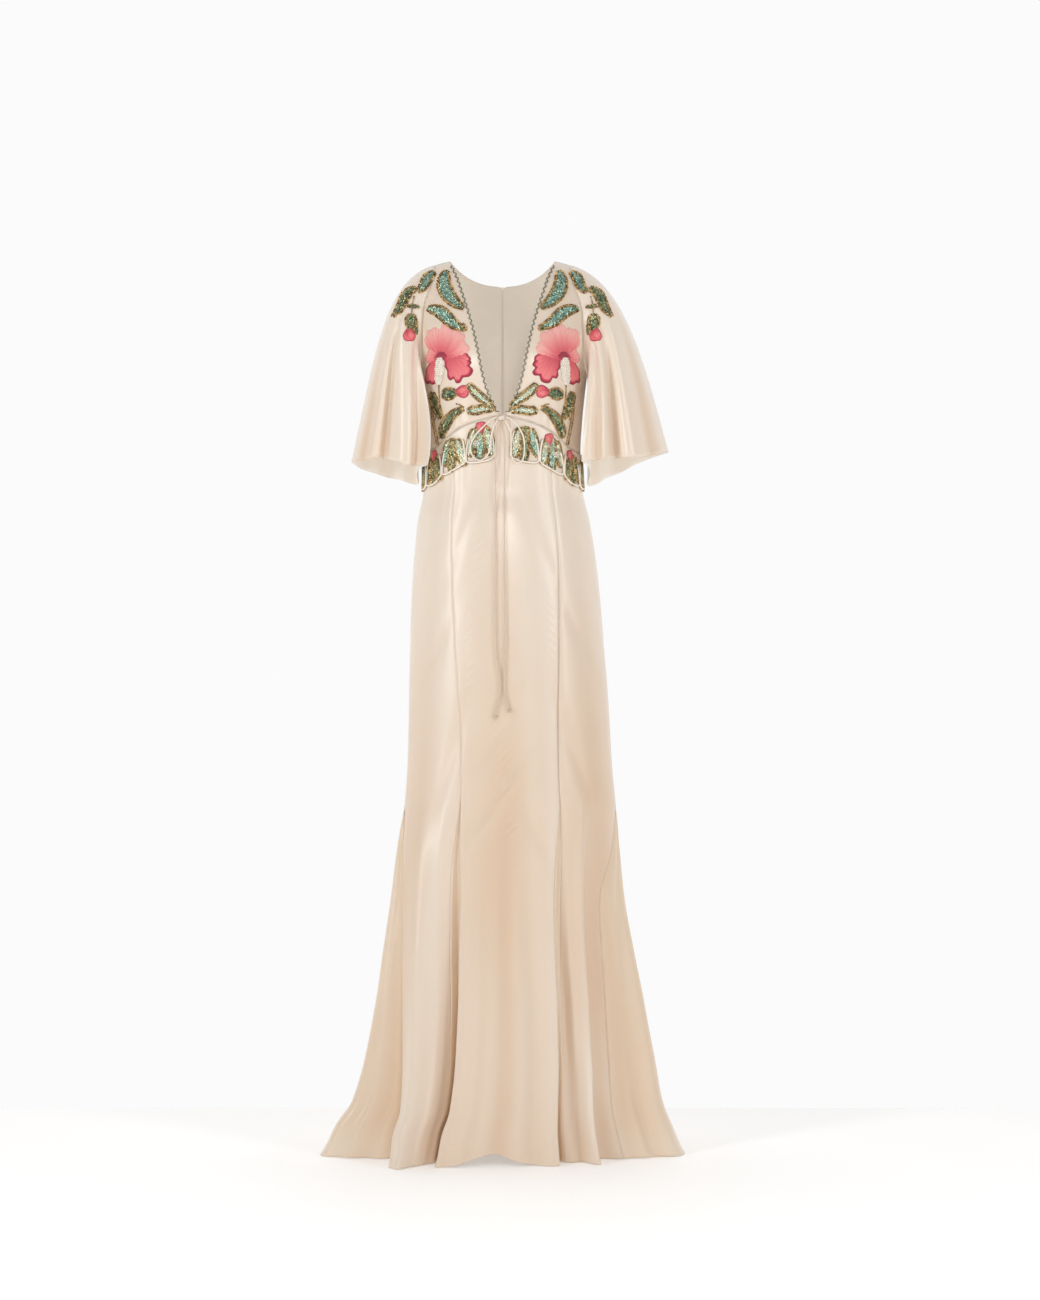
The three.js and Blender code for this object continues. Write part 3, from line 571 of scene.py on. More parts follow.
def smooth_path(points, step):
    """A centripetal Catmull-Rom curve through points, sampled about every step millimetres."""
    p = np.asarray(points, float)
    p = np.vstack([2 * p[0] - p[1], p, 2 * p[-1] - p[-2]])
    knots = np.concatenate([[0], np.cumsum(np.linalg.norm(np.diff(p, axis=0), axis=1) ** 0.5)])
    found = []
    for k in range(1, len(p) - 2):
        count = max(2, int(np.linalg.norm(p[k + 1] - p[k]) / step))
        t = np.linspace(knots[k], knots[k + 1], count, endpoint=False)[:, None]

        def blend(a, b, i, j):
            return (knots[j] - t) / (knots[j] - knots[i]) * a + (t - knots[i]) / (knots[j] - knots[i]) * b

        a1, a2, a3 = (blend(p[i], p[i + 1], i, i + 1) for i in (k - 1, k, k + 1))
        found.append(blend(blend(a1, a2, k - 1, k + 1), blend(a2, a3, k, k + 2), k, k + 1))
    return np.vstack([*found, p[-2:-1]])


def tube_parts(path, radius, sides, swell=None):
    """Points and faces of a tube with capped ends along a path."""
    path = np.asarray(path, float)
    tangent = unit(np.gradient(path, axis=0))
    first = unit(np.cross(tangent[0], [0.3, 0.1, 0.9]))
    across = [first]
    for way in tangent[1:]:
        last = across[-1]
        across.append(unit(last - way * (last @ way)))
    across = np.array(across)
    other = np.cross(tangent, across)
    radii = np.full(len(path), radius) if swell is None else radius * swell
    angle = np.linspace(0, 2 * np.pi, sides, endpoint=False)
    around = across[:, None] * np.cos(angle)[None, :, None] + other[:, None] * np.sin(angle)[None, :, None]
    points = (path[:, None] + around * radii[:, None, None]).reshape(-1, 3)
    faces = grid_faces(len(path), sides, True).tolist()
    faces.append(list(range(sides - 1, -1, -1)))
    faces.append(list(range((len(path) - 1) * sides, len(path) * sides)))
    return points, faces


def tube_piece(name, path, radius, sides, material, swell=None, warm=0.35):
    points, faces = tube_parts(path, radius, sides, swell)
    return mesh_object(name, points, faces, material, warm=np.full(len(points), warm))


def placed(piece, node=None):
    """A piece that rides on the one body, standing in for a node where it has one."""
    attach(piece, "root")
    if node:
        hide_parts(node)
    return piece


def cloth_piece(piece, node):
    """Places a shell of cloth on the one body, standing in for its node."""
    placed(piece, node)


# How far a cloth's normal has to turn to the front for embroidery to be laid on it, and how far
# in depth a point may be read past the cloth's nearest one
SEEN, REACH = -0.12, 6


# Embroidery is laid out as seen from the front, x and height in millimetres, then laid on the cloth
class Front:
    """The front-facing cloth of a grid, read at an x and height."""

    def __init__(self, grid, facing, closed):
        normal = grid_normals(grid, closed) * facing
        seen = normal[..., 1] < SEEN
        self.points, self.normals = grid[seen], normal[seen]
        self.tree = KDTree(len(self.points))
        for k, point in enumerate(self.points):
            self.tree.insert((point[0], 0, point[2]), k)
        self.tree.balance()

    def at(self, x, h, lift):
        x, z = np.asarray(x, float), np.asarray(h, float) - SHOULDER
        near = [self.tree.find((a, 0, b))[1] for a, b in zip(x.ravel(), z.ravel())]
        point, normal = self.points[near], self.normals[near]
        dx, dz = x.ravel() - point[:, 0], z.ravel() - point[:, 2]
        reach = np.clip(-(dx * normal[:, 0] + dz * normal[:, 2]) / normal[:, 1], -REACH, REACH)
        laid = np.stack([x.ravel(), point[:, 1] + reach, z.ravel()], -1)
        laid = laid + normal * np.broadcast_to(lift, x.shape).reshape(-1, 1)
        return laid.reshape(*x.shape, 3), normal.reshape(*x.shape, 3)


# A sequin is a shallow dish with a round of corners: its rim's and middle's height, in its own radius
CORNERS, RIM_HIGH, MIDDLE_LOW = 8, 0.16, -0.06
SPIN = np.linspace(0, 2 * np.pi, CORNERS, endpoint=False)
RIM = np.stack([np.cos(SPIN), np.sin(SPIN), RIM_HIGH + 0 * SPIN], -1)
SEQUIN_POINTS = np.vstack([RIM, [[0, 0, MIDDLE_LOW]]])
SEQUIN_FACES = np.array([(k, (k + 1) % CORNERS, CORNERS) for k in range(CORNERS)])
GOLDEN = (1 + 5**0.5) / 2
BEAD_POINTS = unit(
    np.array([(0, a, b * GOLDEN) for a in (-1, 1) for b in (-1, 1)]
             + [(a, b * GOLDEN, 0) for a in (-1, 1) for b in (-1, 1)]
             + [(a * GOLDEN, 0, b) for b in (-1, 1) for a in (-1, 1)], float)
)


def bead_faces():
    """The twenty faces of an icosahedron: every three corners that are one edge apart."""
    apart = np.linalg.norm(BEAD_POINTS[:, None] - BEAD_POINTS[None], axis=-1)
    edge = apart[apart > 0.1].min() * 1.05
    found = []
    for a in range(12):
        for b in range(a + 1, 12):
            for c in range(b + 1, 12):
                if max(apart[a, b], apart[b, c], apart[a, c]) > edge:
                    continue
                corner = BEAD_POINTS[[a, b, c]]
                turned = np.dot(np.cross(corner[1] - corner[0], corner[2] - corner[0]), corner[0]) > 0
                found.append((a, b, c) if turned else (a, c, b))
    return np.array(found)


BEAD_FACES = bead_faces()


class Scatter:
    """Many copies of one small shape, joined in one mesh."""

    def __init__(self, shape, faces, tilt=0.0):
        self.shape, self.faces, self.tilt = shape, faces, tilt
        self.centres, self.normals, self.sizes, self.tones = [], [], [], []

    def add(self, centres, normals, size, tone=0.5, spread=0.5):
        count = len(centres)
        self.centres.append(centres)
        self.normals.append(unit(normals + self.tilt * rng.normal(size=(count, 3))))
        self.sizes.append(size * rng.uniform(0.9, 1.08, count))
        self.tones.append(np.clip(tone + spread * rng.uniform(-1, 1, count), 0.01, 0.99))

    def build(self, name, material):
        """Makes the copies' one mesh, each turned to its normal."""
        centres, normals = np.concatenate(self.centres), np.concatenate(self.normals)
        sizes, tones = np.concatenate(self.sizes), np.concatenate(self.tones)
        side = unit(np.cross(normals, [0.31, 0.2, 0.93]))
        other = np.cross(normals, side)
        base = self.shape[None] * sizes[:, None, None]
        points = centres[:, None] + base[..., :1] * side[:, None] + base[..., 1:2] * other[:, None]
        points = points + base[..., 2:] * normals[:, None]
        step = len(self.shape)
        faces = (self.faces[None] + np.arange(len(centres))[:, None, None] * step).reshape(-1, 3)
        tone = np.repeat(tones, step)
        placed(mesh_object(name, points.reshape(-1, 3), faces.tolist(), material, tone=tone))


class Patches:
    """Padded satin-stitch shapes, joined in one mesh, with a tone for their colour."""

    def __init__(self):
        self.points, self.faces, self.tones, self.threads, self.count = [], [], [], [], 0

    def add(self, grid, tone, thread):
        rows, columns = grid.shape[:2]
        self.points.append(grid.reshape(-1, 3))
        self.faces.append(grid_faces(rows, columns) + self.count)
        self.tones.append(tone.ravel())
        self.threads.append(np.broadcast_to(thread, (rows, columns)).ravel())
        self.count += rows * columns

    def build(self, name, material):
        faces = np.concatenate(self.faces).tolist()
        tone, thread = np.concatenate(self.tones), np.concatenate(self.threads)
        points = np.concatenate(self.points)
        piece = mesh_object(name, points, faces, material, tone=tone, thread=thread, warm=tone)
        placed(piece)


def spine(x, h, angle, length, bend, s, across):
    """Points of a curved spine from (x, h), turning by bend degrees in all, moved across it."""
    steps = np.linspace(0, 1, 41)
    way = (angle + bend * (steps - 0.3)) * RAD
    px = np.concatenate([[0], np.cumsum(np.cos((way[1:] + way[:-1]) / 2))]) / 40 * length
    ph = np.concatenate([[0], np.cumsum(np.sin((way[1:] + way[:-1]) / 2))]) / 40 * length
    turn = (angle + bend * (s - 0.3)) * RAD
    return (
        x + np.interp(s, steps, px) - np.sin(turn) * across,
        h + np.interp(s, steps, ph) + np.cos(turn) * across,
    )


def leaf(front, x, h, angle, length, width, bend, sway, sequins, tone, blunt=0.75):
    """A leaf of sequins on a padded ground, edged with beads."""

    def half(s):
        return width / 2 * np.sin(np.pi * np.clip(s, 0, 1) ** 0.8) ** blunt

    def seen(s, across):
        return spine(x, h, angle, length, bend, s, across + sway * np.sin(2 * np.pi * s))

    fill_leaf(front, half, seen, length, sequins, tone)
    for way in (-1, 1):
        for rim in DOUBLE_RIMS if width > DOUBLE_ROW else SINGLE_RIM:
            edge_leaf(front, half, seen, way, rim)
    s, w = np.meshgrid(np.linspace(0.01, 0.99, 22), np.linspace(-1, 1, 9), indexing="ij")
    padded = front.at(*seen(s, w * (half(s) + LEAF_MARGIN)), 0.25 + LEAF_PAD * (1 - w**4))[0]
    GROUND.add(padded, 0.5 + 0 * s, w)


def fill_leaf(front, half, seen, length, sequins, tone):
    """Sequins in staggered rows across a leaf, higher along its middle."""
    rows = []
    for k, along in enumerate(np.arange(LEAF_INSET, length - 1.2, SEQUIN_PITCH * ROW_PITCH)):
        across = (np.arange(-MOST, MOST) + (0.5 if k % 2 else 0)) * SEQUIN_PITCH
        across = across[np.abs(across) <= max(half(along / length) - LEAF_INSET, 0.3)]
        rows.append(np.stack([np.full(len(across), along), across], -1))
    along, across = np.concatenate(rows).T
    s = along / length
    lift = 1.3 + 0.7 * (1 - np.abs(across / np.maximum(half(s), 1)) ** 2)
    sequins.add(*front.at(*seen(s, across), lift), SEQUIN_SIZE / 2, tone, 0.42)


def edge_leaf(front, half, seen, way, rim):
    """A row of beads along one edge of a leaf, out from it by rim."""
    s = np.linspace(0, 1, 200)
    run = run_of(*seen(s, way * (half(s) + rim)))
    at = np.interp(np.arange(rim * 0.5, run[-1], BEAD_PITCH), run, s)
    BRONZE.add(*front.at(*seen(at, way * (half(at) + rim)), 1.2), BEAD_SIZE / 2, 0.5, 0.5)


def bead_line(front, points, pitch, size):
    """Beads strung along a smooth line through points of x and height."""
    path = smooth_path([(x, 0, h) for x, h in points], 1.0)
    run = run_of(*path.T)
    at = np.arange(0, run[-1], pitch)
    x, h = np.interp(at, run, path[:, 0]), np.interp(at, run, path[:, 2])
    BRONZE.add(*front.at(x, h, 0.9), size / 2, 0.5, 0.4)


def petal(front, x, h, angle, length, width, tones, frill=0.0, lobes=5, pad=1.7):
    """A satin-stitch petal: padded, with thread ridges and a frilled edge in its own tone."""
    r, p = np.meshgrid(np.linspace(0.02, 1, 18), np.linspace(-np.pi, np.pi, 97), indexing="ij")
    notch = np.abs(np.cos(lobes * (p / 2 + 0.06 * np.sin(3 * p + angle)))) ** 4
    out = 1 - frill * notch * ease((np.cos(p) + 0.7) / 0.9)
    along = length / 2 * (1 + r * out * np.cos(p))
    across = width / 2 * r * out * np.sin(p) * (1 + 0.35 * np.cos(p))
    c, k = math.cos(angle * RAD), math.sin(angle * RAD)
    thread = np.arctan2(across, along + 0.2 * length)
    ridge = 0.35 * np.cos(30 * thread) * ease(along / length * 2) * (1 - r**8)
    px, ph = x + c * along - k * across, h + k * along + c * across
    grid = front.at(px, ph, 0.3 + pad * (1 - r**5) + ridge)[0]
    inner, outer, edge_tone, edge_width = tones
    tone = mix(inner, outer, ease(along / length * 1.1))
    tone = mix(tone, edge_tone, ease((r - 1 + edge_width) / edge_width * 1.3) * ease(along / length * 3))
    STITCH.add(grid, np.clip(tone, 0.01, 0.99), thread * 3 + angle * 0.1)


# The sequins' pitch, width, rows' pitch in the first and most either side of a leaf's middle
SEQUIN_PITCH, SEQUIN_SIZE, ROW_PITCH, MOST = 2.4, 3.2, 0.87, 30
BEAD_PITCH, BEAD_SIZE = 2.9, 3.2
# How far a leaf's sequins stay in from its edge, its ground's reach past it and its padding
LEAF_INSET, LEAF_MARGIN, LEAF_PAD = 1.5, 0.4, 0.8
# The width from which a leaf has two rows of edge beads, and how far out the rows run
DOUBLE_ROW = 9.0
SINGLE_RIM, DOUBLE_RIMS = (0.8,), (0.3, BEAD_SIZE * 0.85)
GROUND, STITCH, PADDING = Patches(), Patches(), Patches()
AQUA = Scatter(SEQUIN_POINTS, SEQUIN_FACES, 0.17)
OLIVE = Scatter(SEQUIN_POINTS, SEQUIN_FACES, 0.17)
BRONZE = Scatter(BEAD_POINTS, BEAD_FACES)
PEARL = Scatter(BEAD_POINTS, BEAD_FACES)


# Materials
class Nodes:
    """A material's node tree, with short calls to add and join nodes."""

    def __init__(self, name):
        self.material = bpy.data.materials.new(name)
        self.material.use_nodes = True
        self.tree = self.material.node_tree
        self.shader = self.tree.nodes["Principled BSDF"]

    def add(self, kind, **values):
        node = self.tree.nodes.new("ShaderNode" + kind)
        for key, value in values.items():
            if key in node.inputs:
                node.inputs[key].default_value = value
            else:
                setattr(node, key, value)
        return node

    def join(self, out, into):
        self.tree.links.new(out, into)

    def set(self, **values):
        for key, value in values.items():
            self.shader.inputs[key.replace("_", " ")].default_value = value

    def noise(self, scale, detail, stretch=(1, 1, 1)):
        where = self.add("TexCoord")
        squeeze = self.add("Mapping")
        squeeze.inputs["Scale"].default_value = stretch
        self.join(where.outputs["Object"], squeeze.inputs["Vector"])
        texture = self.add("TexNoise", Scale=scale, Detail=detail)
        self.join(squeeze.outputs[0], texture.inputs["Vector"])
        return texture.outputs["Fac"]

    def field(self, name):
        return self.add("Attribute", attribute_name=name).outputs["Fac"]

    def sums(self, source, times, plus):
        """source x times + plus, where plus is a number or another output."""
        node = self.add("Math", operation="MULTIPLY_ADD")
        self.join(source, node.inputs[0])
        node.inputs[1].default_value = times
        if isinstance(plus, float):
            node.inputs[2].default_value = plus
        else:
            self.join(plus, node.inputs[2])
        return node.outputs[0]

    def ramp(self, source, *stops):
        ramp = self.add("ValToRGB")
        elements = ramp.color_ramp.elements
        while len(elements) < len(stops):
            elements.new(0.5)
        for element, (at, colour) in zip(elements, stops):
            element.position = at
            element.color = (*colour, 1)
        self.join(source, ramp.inputs["Fac"])
        return ramp.outputs["Color"]

    def bump(self, *layers):
        last = None
        for source, strength, distance in layers:
            bump = self.add("Bump", Strength=strength, Distance=distance)
            self.join(source, bump.inputs["Height"])
            if last:
                self.join(last, bump.inputs["Normal"])
            last = bump.outputs["Normal"]
        self.join(last, self.shader.inputs["Normal"])


def satin(name, cool, warm, rough=0.28, painted_glow=0.0):
    """Silk satin: a soft broad gloss, an ivory that turns peach under painted shade, fine warp and tiny
    creases.
    """
    nodes = Nodes(name)
    cloud = nodes.noise(4.5, 4.0, (1, 1, 0.45))
    # A cloud of random tone, plus the painted shade that each point carries in its field
    shade_and_tone = nodes.sums(cloud, 0.36, nodes.sums(nodes.field("warm"), 1.0, -0.18))
    nodes.join(nodes.ramp(shade_and_tone, (0.0, cool), (1.0, warm)), nodes.shader.inputs["Base Color"])
    nodes.set(Roughness=rough, Specular_IOR_Level=0.68, Sheen_Weight=0.15, Sheen_Roughness=0.4)
    nodes.set(Subsurface_Weight=0.12, Subsurface_Radius=(1.0, 0.62, 0.4), Subsurface_Scale=0.004)
    # A painted glow, standing in for light that comes through the thin silk
    if painted_glow:
        nodes.set(Emission_Color=(1.0, 0.93, 0.86, 1), Emission_Strength=painted_glow)
    thread = nodes.noise(900.0, 2.0, (1, 1, 0.06))
    crease = nodes.noise(26.0, 4.0, (1, 1, 0.35))
    nodes.bump((crease, 0.16, 0.004), (thread, 0.12, 0.0003))
    return nodes.material


# The satin's ivory in light, and the peach it turns to under painted shade
IVORY_COOL, IVORY_SHADED = (0.87, 0.77, 0.665), (0.73, 0.53, 0.375)
SATIN = satin("champagne_satin", IVORY_COOL, IVORY_SHADED)
# The godets' satin: the same cloth as the rest, with a lighter peach for its painted shade
GODET_SHADE_SATIN = satin("godet_shade_satin", IVORY_COOL, (0.77, 0.575, 0.405))
# The lining, paler than the satin, with a painted glow for light through the thin silk
LINING = satin("lining", (0.94, 0.88, 0.8), (0.91, 0.82, 0.72), 0.45, painted_glow=0.055)
CORDING = satin("tie_satin", (0.9, 0.81, 0.71), (0.6, 0.44, 0.31), 0.42)
BAND = satin("band_satin", (0.86, 0.76, 0.65), (0.8, 0.66, 0.52))


def toned(name, stops, rough, metal, **values):
    """A look whose colour follows each bead's or sequin's own tone."""
    nodes = Nodes(name)
    nodes.join(nodes.ramp(nodes.field("tone"), *stops), nodes.shader.inputs["Base Color"])
    nodes.set(Roughness=rough, Metallic=metal, **values)
    grain = nodes.noise(700.0, 2.0)
    nodes.bump((grain, 0.15, 0.0003))
    return nodes.material


def stitch_look():
    nodes = Nodes("satin_stitch")
    stops = (
        (0.0, (0.28, 0.01, 0.035)), (0.25, (0.52, 0.035, 0.075)), (0.5, (0.79, 0.15, 0.17)),
        (0.75, (0.9, 0.33, 0.31)), (1.0, (0.95, 0.6, 0.53)),
    )
    place = nodes.add("CombineXYZ")
    nodes.join(nodes.field("thread"), place.inputs[0])
    threads = nodes.add("TexNoise", Scale=14.0, Detail=3.0)
    nodes.join(place.outputs[0], threads.inputs["Vector"])
    streak = threads.outputs["Fac"]
    tone = nodes.sums(streak, 0.8, nodes.sums(nodes.field("tone"), 1.0, -0.4))
    nodes.join(nodes.ramp(tone, *stops), nodes.shader.inputs["Base Color"])
    nodes.set(Roughness=0.42, Sheen_Weight=0.2, Specular_IOR_Level=0.45)
    nodes.bump((streak, 0.5, 0.0006))
    return nodes.material


AQUA_STOPS = (
    (0, (0.09, 0.2, 0.15)), (0.35, (0.23, 0.41, 0.32)),
    (0.7, (0.42, 0.6, 0.48)), (1, (0.74, 0.66, 0.46)),
)
OLIVE_STOPS = (
    (0, (0.03, 0.07, 0.035)), (0.4, (0.09, 0.17, 0.09)),
    (0.7, (0.25, 0.3, 0.16)), (1, (0.6, 0.5, 0.24)),
)
BRONZE_STOPS = (0, (0.11, 0.065, 0.02)), (0.5, (0.46, 0.3, 0.12)), (1, (0.95, 0.7, 0.34))
PEARL_STOPS = (0, (0.74, 0.62, 0.47)), (0.5, (0.92, 0.85, 0.74)), (1, (0.97, 0.94, 0.88))
SEQUIN_AQUA = toned("aqua_sequins", AQUA_STOPS, 0.22, 0.55, Coat_Weight=0.3)
SEQUIN_OLIVE = toned("olive_sequins", OLIVE_STOPS, 0.24, 0.55, Coat_Weight=0.3)
BRONZE_BEADS = toned("bronze_beads", BRONZE_STOPS, 0.26, 0.6)
PEARL_BEADS = toned("pearl_beads", PEARL_STOPS, 0.25, 0.0, Coat_Weight=0.5)
LEAF_GROUND = satin("leaf_ground", (0.2, 0.24, 0.15), (0.13, 0.16, 0.1), 0.5)
STITCHED = stitch_look()
# A brown tube under the piping: painted shadow along its sides
PIPING_SHADOW = satin("piping_shadow", (0.5, 0.38, 0.26), (0.42, 0.31, 0.2), 0.5)
TRIM_THREAD = satin("trim_thread", (0.12, 0.15, 0.09), (0.08, 0.1, 0.06), 0.5)


# Camera, floor and light: the gown's axis and the focal length in the picture's own pixels
AXIS_X = 502.5
FOCAL_PX = 2390.0
IMAGE_WIDTH, IMAGE_HEIGHT = 1040, 1300
SENSOR = 36.0
# The camera's distance, its height above the floor and how far it sees, in metres
CAMERA_BACK, CAMERA_HEIGHT, VIEW_END = 4.048, 0.853, 60
# How bright the world is before and behind the gown, and where it changes from one to the other
FRONT_GLOW, BACK_GLOW = 0.3, 0.965
GLOW_FROM, GLOW_TO = -0.1, 0.25
# How far the floor runs each way and behind
FLOOR_SIZE, FLOOR_BACK = 9000.0, 400.0
# Each light: name, place, aim, size, power and colour
LIGHTS = (
    ("key", (-2.0, -1.7, 0.25), (0, 0, -0.45), (0.4, 2.4), 21, (1, 0.985, 0.965)),
    ("fill", (2.0, -1.7, 0.25), (0, 0, -0.45), (0.4, 2.4), 15.5, (1, 0.975, 0.95)),
    ("front", (0.2, -3.6, 0.5), (0, 0, -0.4), (0.9, 0.9), 23, (1, 0.985, 0.965)),
)


def add_camera():
    data = bpy.data.cameras.new("camera")
    data.sensor_fit = "VERTICAL"
    data.sensor_height = SENSOR
    data.lens = SENSOR * FOCAL_PX / IMAGE_HEIGHT
    data.shift_x = (IMAGE_WIDTH / 2 - AXIS_X) / IMAGE_HEIGHT
    data.clip_end = VIEW_END
    camera = bpy.data.objects.new("camera", data)
    camera.location = (0, -CAMERA_BACK, CAMERA_HEIGHT - SHOULDER * METRES)
    camera.rotation_euler = (math.pi / 2, 0, 0)
    bpy.context.collection.objects.link(camera)
    bpy.context.scene.camera = camera


def add_light(name, place, aim, size, power, colour):
    data = bpy.data.lights.new(name, "AREA")
    data.shape = "RECTANGLE"
    data.size, data.size_y = size
    data.energy = power
    data.color = colour
    light = bpy.data.objects.new(name, data)
    light.location = place
    way = np.array(aim) - np.array(place)
    tilt = math.atan2(math.hypot(way[0], way[1]), -way[2])
    light.rotation_euler = (tilt, 0, math.atan2(-way[0], way[1]))
    bpy.context.collection.objects.link(light)


def add_world():
    """A pale world, dim before the gown and bright behind it."""
    world = bpy.data.worlds.new("studio")
    world.use_nodes = True
    tree = world.node_tree
    where, split = (tree.nodes.new(f"ShaderNode{kind}") for kind in ("TexCoord", "SeparateXYZ"))
    ramp = tree.nodes.new("ShaderNodeMapRange")
    limits = {"From Min": GLOW_FROM, "From Max": GLOW_TO, "To Min": FRONT_GLOW, "To Max": BACK_GLOW}
    for key, value in limits.items():
        ramp.inputs[key].default_value = value
    tree.links.new(where.outputs["Generated"], split.inputs[0])
    tree.links.new(split.outputs["Y"], ramp.inputs["Value"])
    tree.links.new(ramp.outputs[0], tree.nodes["Background"].inputs["Strength"])
    tree.nodes["Background"].inputs["Color"].default_value = (1, 1, 1, 1)
    bpy.context.scene.world = world
    bpy.context.scene.view_settings.view_transform = "Standard"


def add_floor():
    floor = Nodes("floor")
    grain = floor.noise(3.0, 2.0)
    pale = floor.ramp(grain, (0.2, (0.9, 0.895, 0.89)), (0.8, (0.93, 0.925, 0.92)))
    floor.join(pale, floor.shader.inputs["Base Color"])
    floor.set(Roughness=0.8, Emission_Color=(0.97, 0.985, 1, 1), Emission_Strength=0.24)
    size = FLOOR_SIZE
    corners = [(-size, -size), (size, -size), (size, FLOOR_BACK), (-size, FLOOR_BACK)]
    corners = [(x, y, -SHOULDER) for x, y in corners]
    mesh_object("floor", corners, [(0, 1, 2, 3)], floor.material)


# Garment: how far the edges of the skirt's and bodice's pieces roll under
SEAM_ROLL, BODICE_ROLL = 0.45, 0.4
# The godets' share of the skirt's rise, and how rows crowd towards the hem
GODET_RISE, CROWD = 0.49, 1.12


def surface_grid(surface, columns, rows):
    return surface(*np.meshgrid(columns, rows))


def add_panel(name, ends, top, material, slot, per_fold, fineness=150):
    """A piece of the skirt between two places, from the hem up to a share of the rise."""
    first, last = ends
    columns = np.linspace(first, last, int(round((last - first) * per_fold)) + 1)
    rows = top * np.linspace(0, 1, int(fineness * top) + 1) ** CROWD
    grid = surface_grid(skirt, columns, rows)
    # How much painted shade each point of the panel carries
    warm = surface_grid(skirt_warmth, columns, rows)
    piece = shell(name + "_cloth", grid, material, warm, seam=SEAM_ROLL, hem=0)
    cloth_piece(piece, name)


def add_skirt():
    front, flank, rear = (places for places, seam in GODETS.values())
    add_panel("skirt_centre_front", (-front[0], front[0]), 1.0, SATIN, "satin", 13, 380)
    panels = (
        ("skirt_side_front", (front[1], flank[0]), 1.0, SATIN, "satin", 10),
        ("skirt_side_back", (flank[1], rear[0]), 1.0, SATIN, "satin", 9),
        ("skirt_centre_back", (rear[1], LAST_FOLD), 1.0, SATIN, "satin", 10),
        ("godet_front", front, GODET_RISE, GODET_SHADE_SATIN, "godet_satin", 7),
        ("godet_side", flank, GODET_RISE, GODET_SHADE_SATIN, "godet_satin", 10),
        ("godet_back", rear, GODET_RISE, GODET_SHADE_SATIN, "godet_satin", 8),
    )
    for side, word in SIDES:
        for name, places, *rest in panels:
            add_panel(f"{name}_{word}", sorted(side * place for place in places), *rest)


# The grids that embroidery may be laid on, with the side they face and whether they close
GRIDS = {}
# Each half of the bodice: its inner edge, its column of the armhole, and the way it faces
BODICE_HALVES = (("front", front_edge, "before", 1), ("back", back_edge, "behind", -1))


def add_bodice():
    across, share = np.linspace(0, 1, 46), np.linspace(0, 1, 76) ** 0.9
    for side, word in SIDES:
        for half, inner, column, way in BODICE_HALVES:
            node = f"bodice_{half}_{word}"
            grid = surface_grid(bodice(side, inner, column), across, share)
            GRIDS[node] = (grid, side, False)
            piece = shell(f"{node}_cloth", grid, SATIN, 0.3, facing=way * side, seam=BODICE_ROLL)
            cloth_piece(piece, node)


# The depth from which a flute of a sleeve gets painted shade inside, and the painted shade at each sleeve's
# outer front
DEEP_FLUTE = 5
FLARE_SHADE = {-1: 0.22, 1: 0.04}


def add_sleeves():
    turn, fall = np.meshgrid(np.linspace(0, 360, 144, endpoint=False), np.linspace(0.002, 1, 64))
    for side, word in SIDES:
        grid = sleeve(side)(turn, fall)
        GRIDS[f"sleeve_{word}"] = (grid, side, True)
        # Painted shade at the outer front, in the deepest flutes and more down the sleeve
        flare_shade = FLARE_SHADE[side] * hump(turn, 26, 20) * fall
        deepest = [(at, wide) for at, wide, deep in FLUTES[side] if deep > DEEP_FLUTE]
        folds = sum(hump(turn, at, wide) for at, wide in deepest)
        warm = 0.08 + 0.2 * fall + flare_shade + 0.4 * fall * folds
        piece = shell(f"sleeve_{word}_cloth", grid, SATIN, warm, facing=side, closed=True, hem=-1)
        cloth_piece(piece, f"sleeve_{word}")


def add_band():
    for side, word in SIDES:
        for half, start in (("front", 0), ("back", LOBES // 2)):
            node = f"band_{half}_{word}"
            columns = np.linspace(start, start + LOBES // 2, 121)
            grid = surface_grid(band(side), columns, np.linspace(0, 1, 15))
            walls = {"outer": LAID + BAND_WALL, "inner": LAID}
            piece = shell(f"{node}_cloth", grid, BAND, 0.3, facing=side, **walls)
            cloth_piece(piece, node)


# Between these heights the tie passes over the band's embroidery
OVER_FROM, OVER_TO = 1150, 1232


def on_front(route, lift):
    """A route laid on the cloth, passing over the band's embroidery."""
    points = []
    for x, h in np.array(route, float):
        over = EMBROIDERED * float(ease((h - OVER_FROM) / 20) * ease((OVER_TO - h) / 12))
        points.append(in_front(x, h, lift + over))
    return np.array(points)


def knot_piece(node, centre, size, turns, warm=0.2):
    """A small knot: a few wraps of the cord round a core, pulled tight."""
    angle = np.linspace(0, 2 * np.pi * turns, 26 * turns)
    sweep = np.linspace(-1, 1, len(angle))
    across = 0.62 * np.cos(angle) + 0.22 * sweep
    up = 0.62 * sweep + 0.2 * np.sin(angle + 0.8)
    wraps = np.stack([across, 0.62 * np.sin(angle), up], -1) * size
    piece = tube_piece(f"{node}_wraps", centre + wraps, min(size) * 0.42, 10, CORDING, warm=warm)
    return placed(piece, node)


def tie_cord(node, path, warm):
    """A cord of the tie, a little uneven along its length."""
    along = np.arange(len(path))
    swell = 1 + 0.05 * np.sin(along * 0.9) + 0.04 * np.sin(along * 0.37 + 1)
    piece = tube_piece(f"{node}_cord", path, CORD / 2, 12, CORDING, swell, warm)
    return placed(piece, node)


def declare_cord(path):
    path = path * METRES


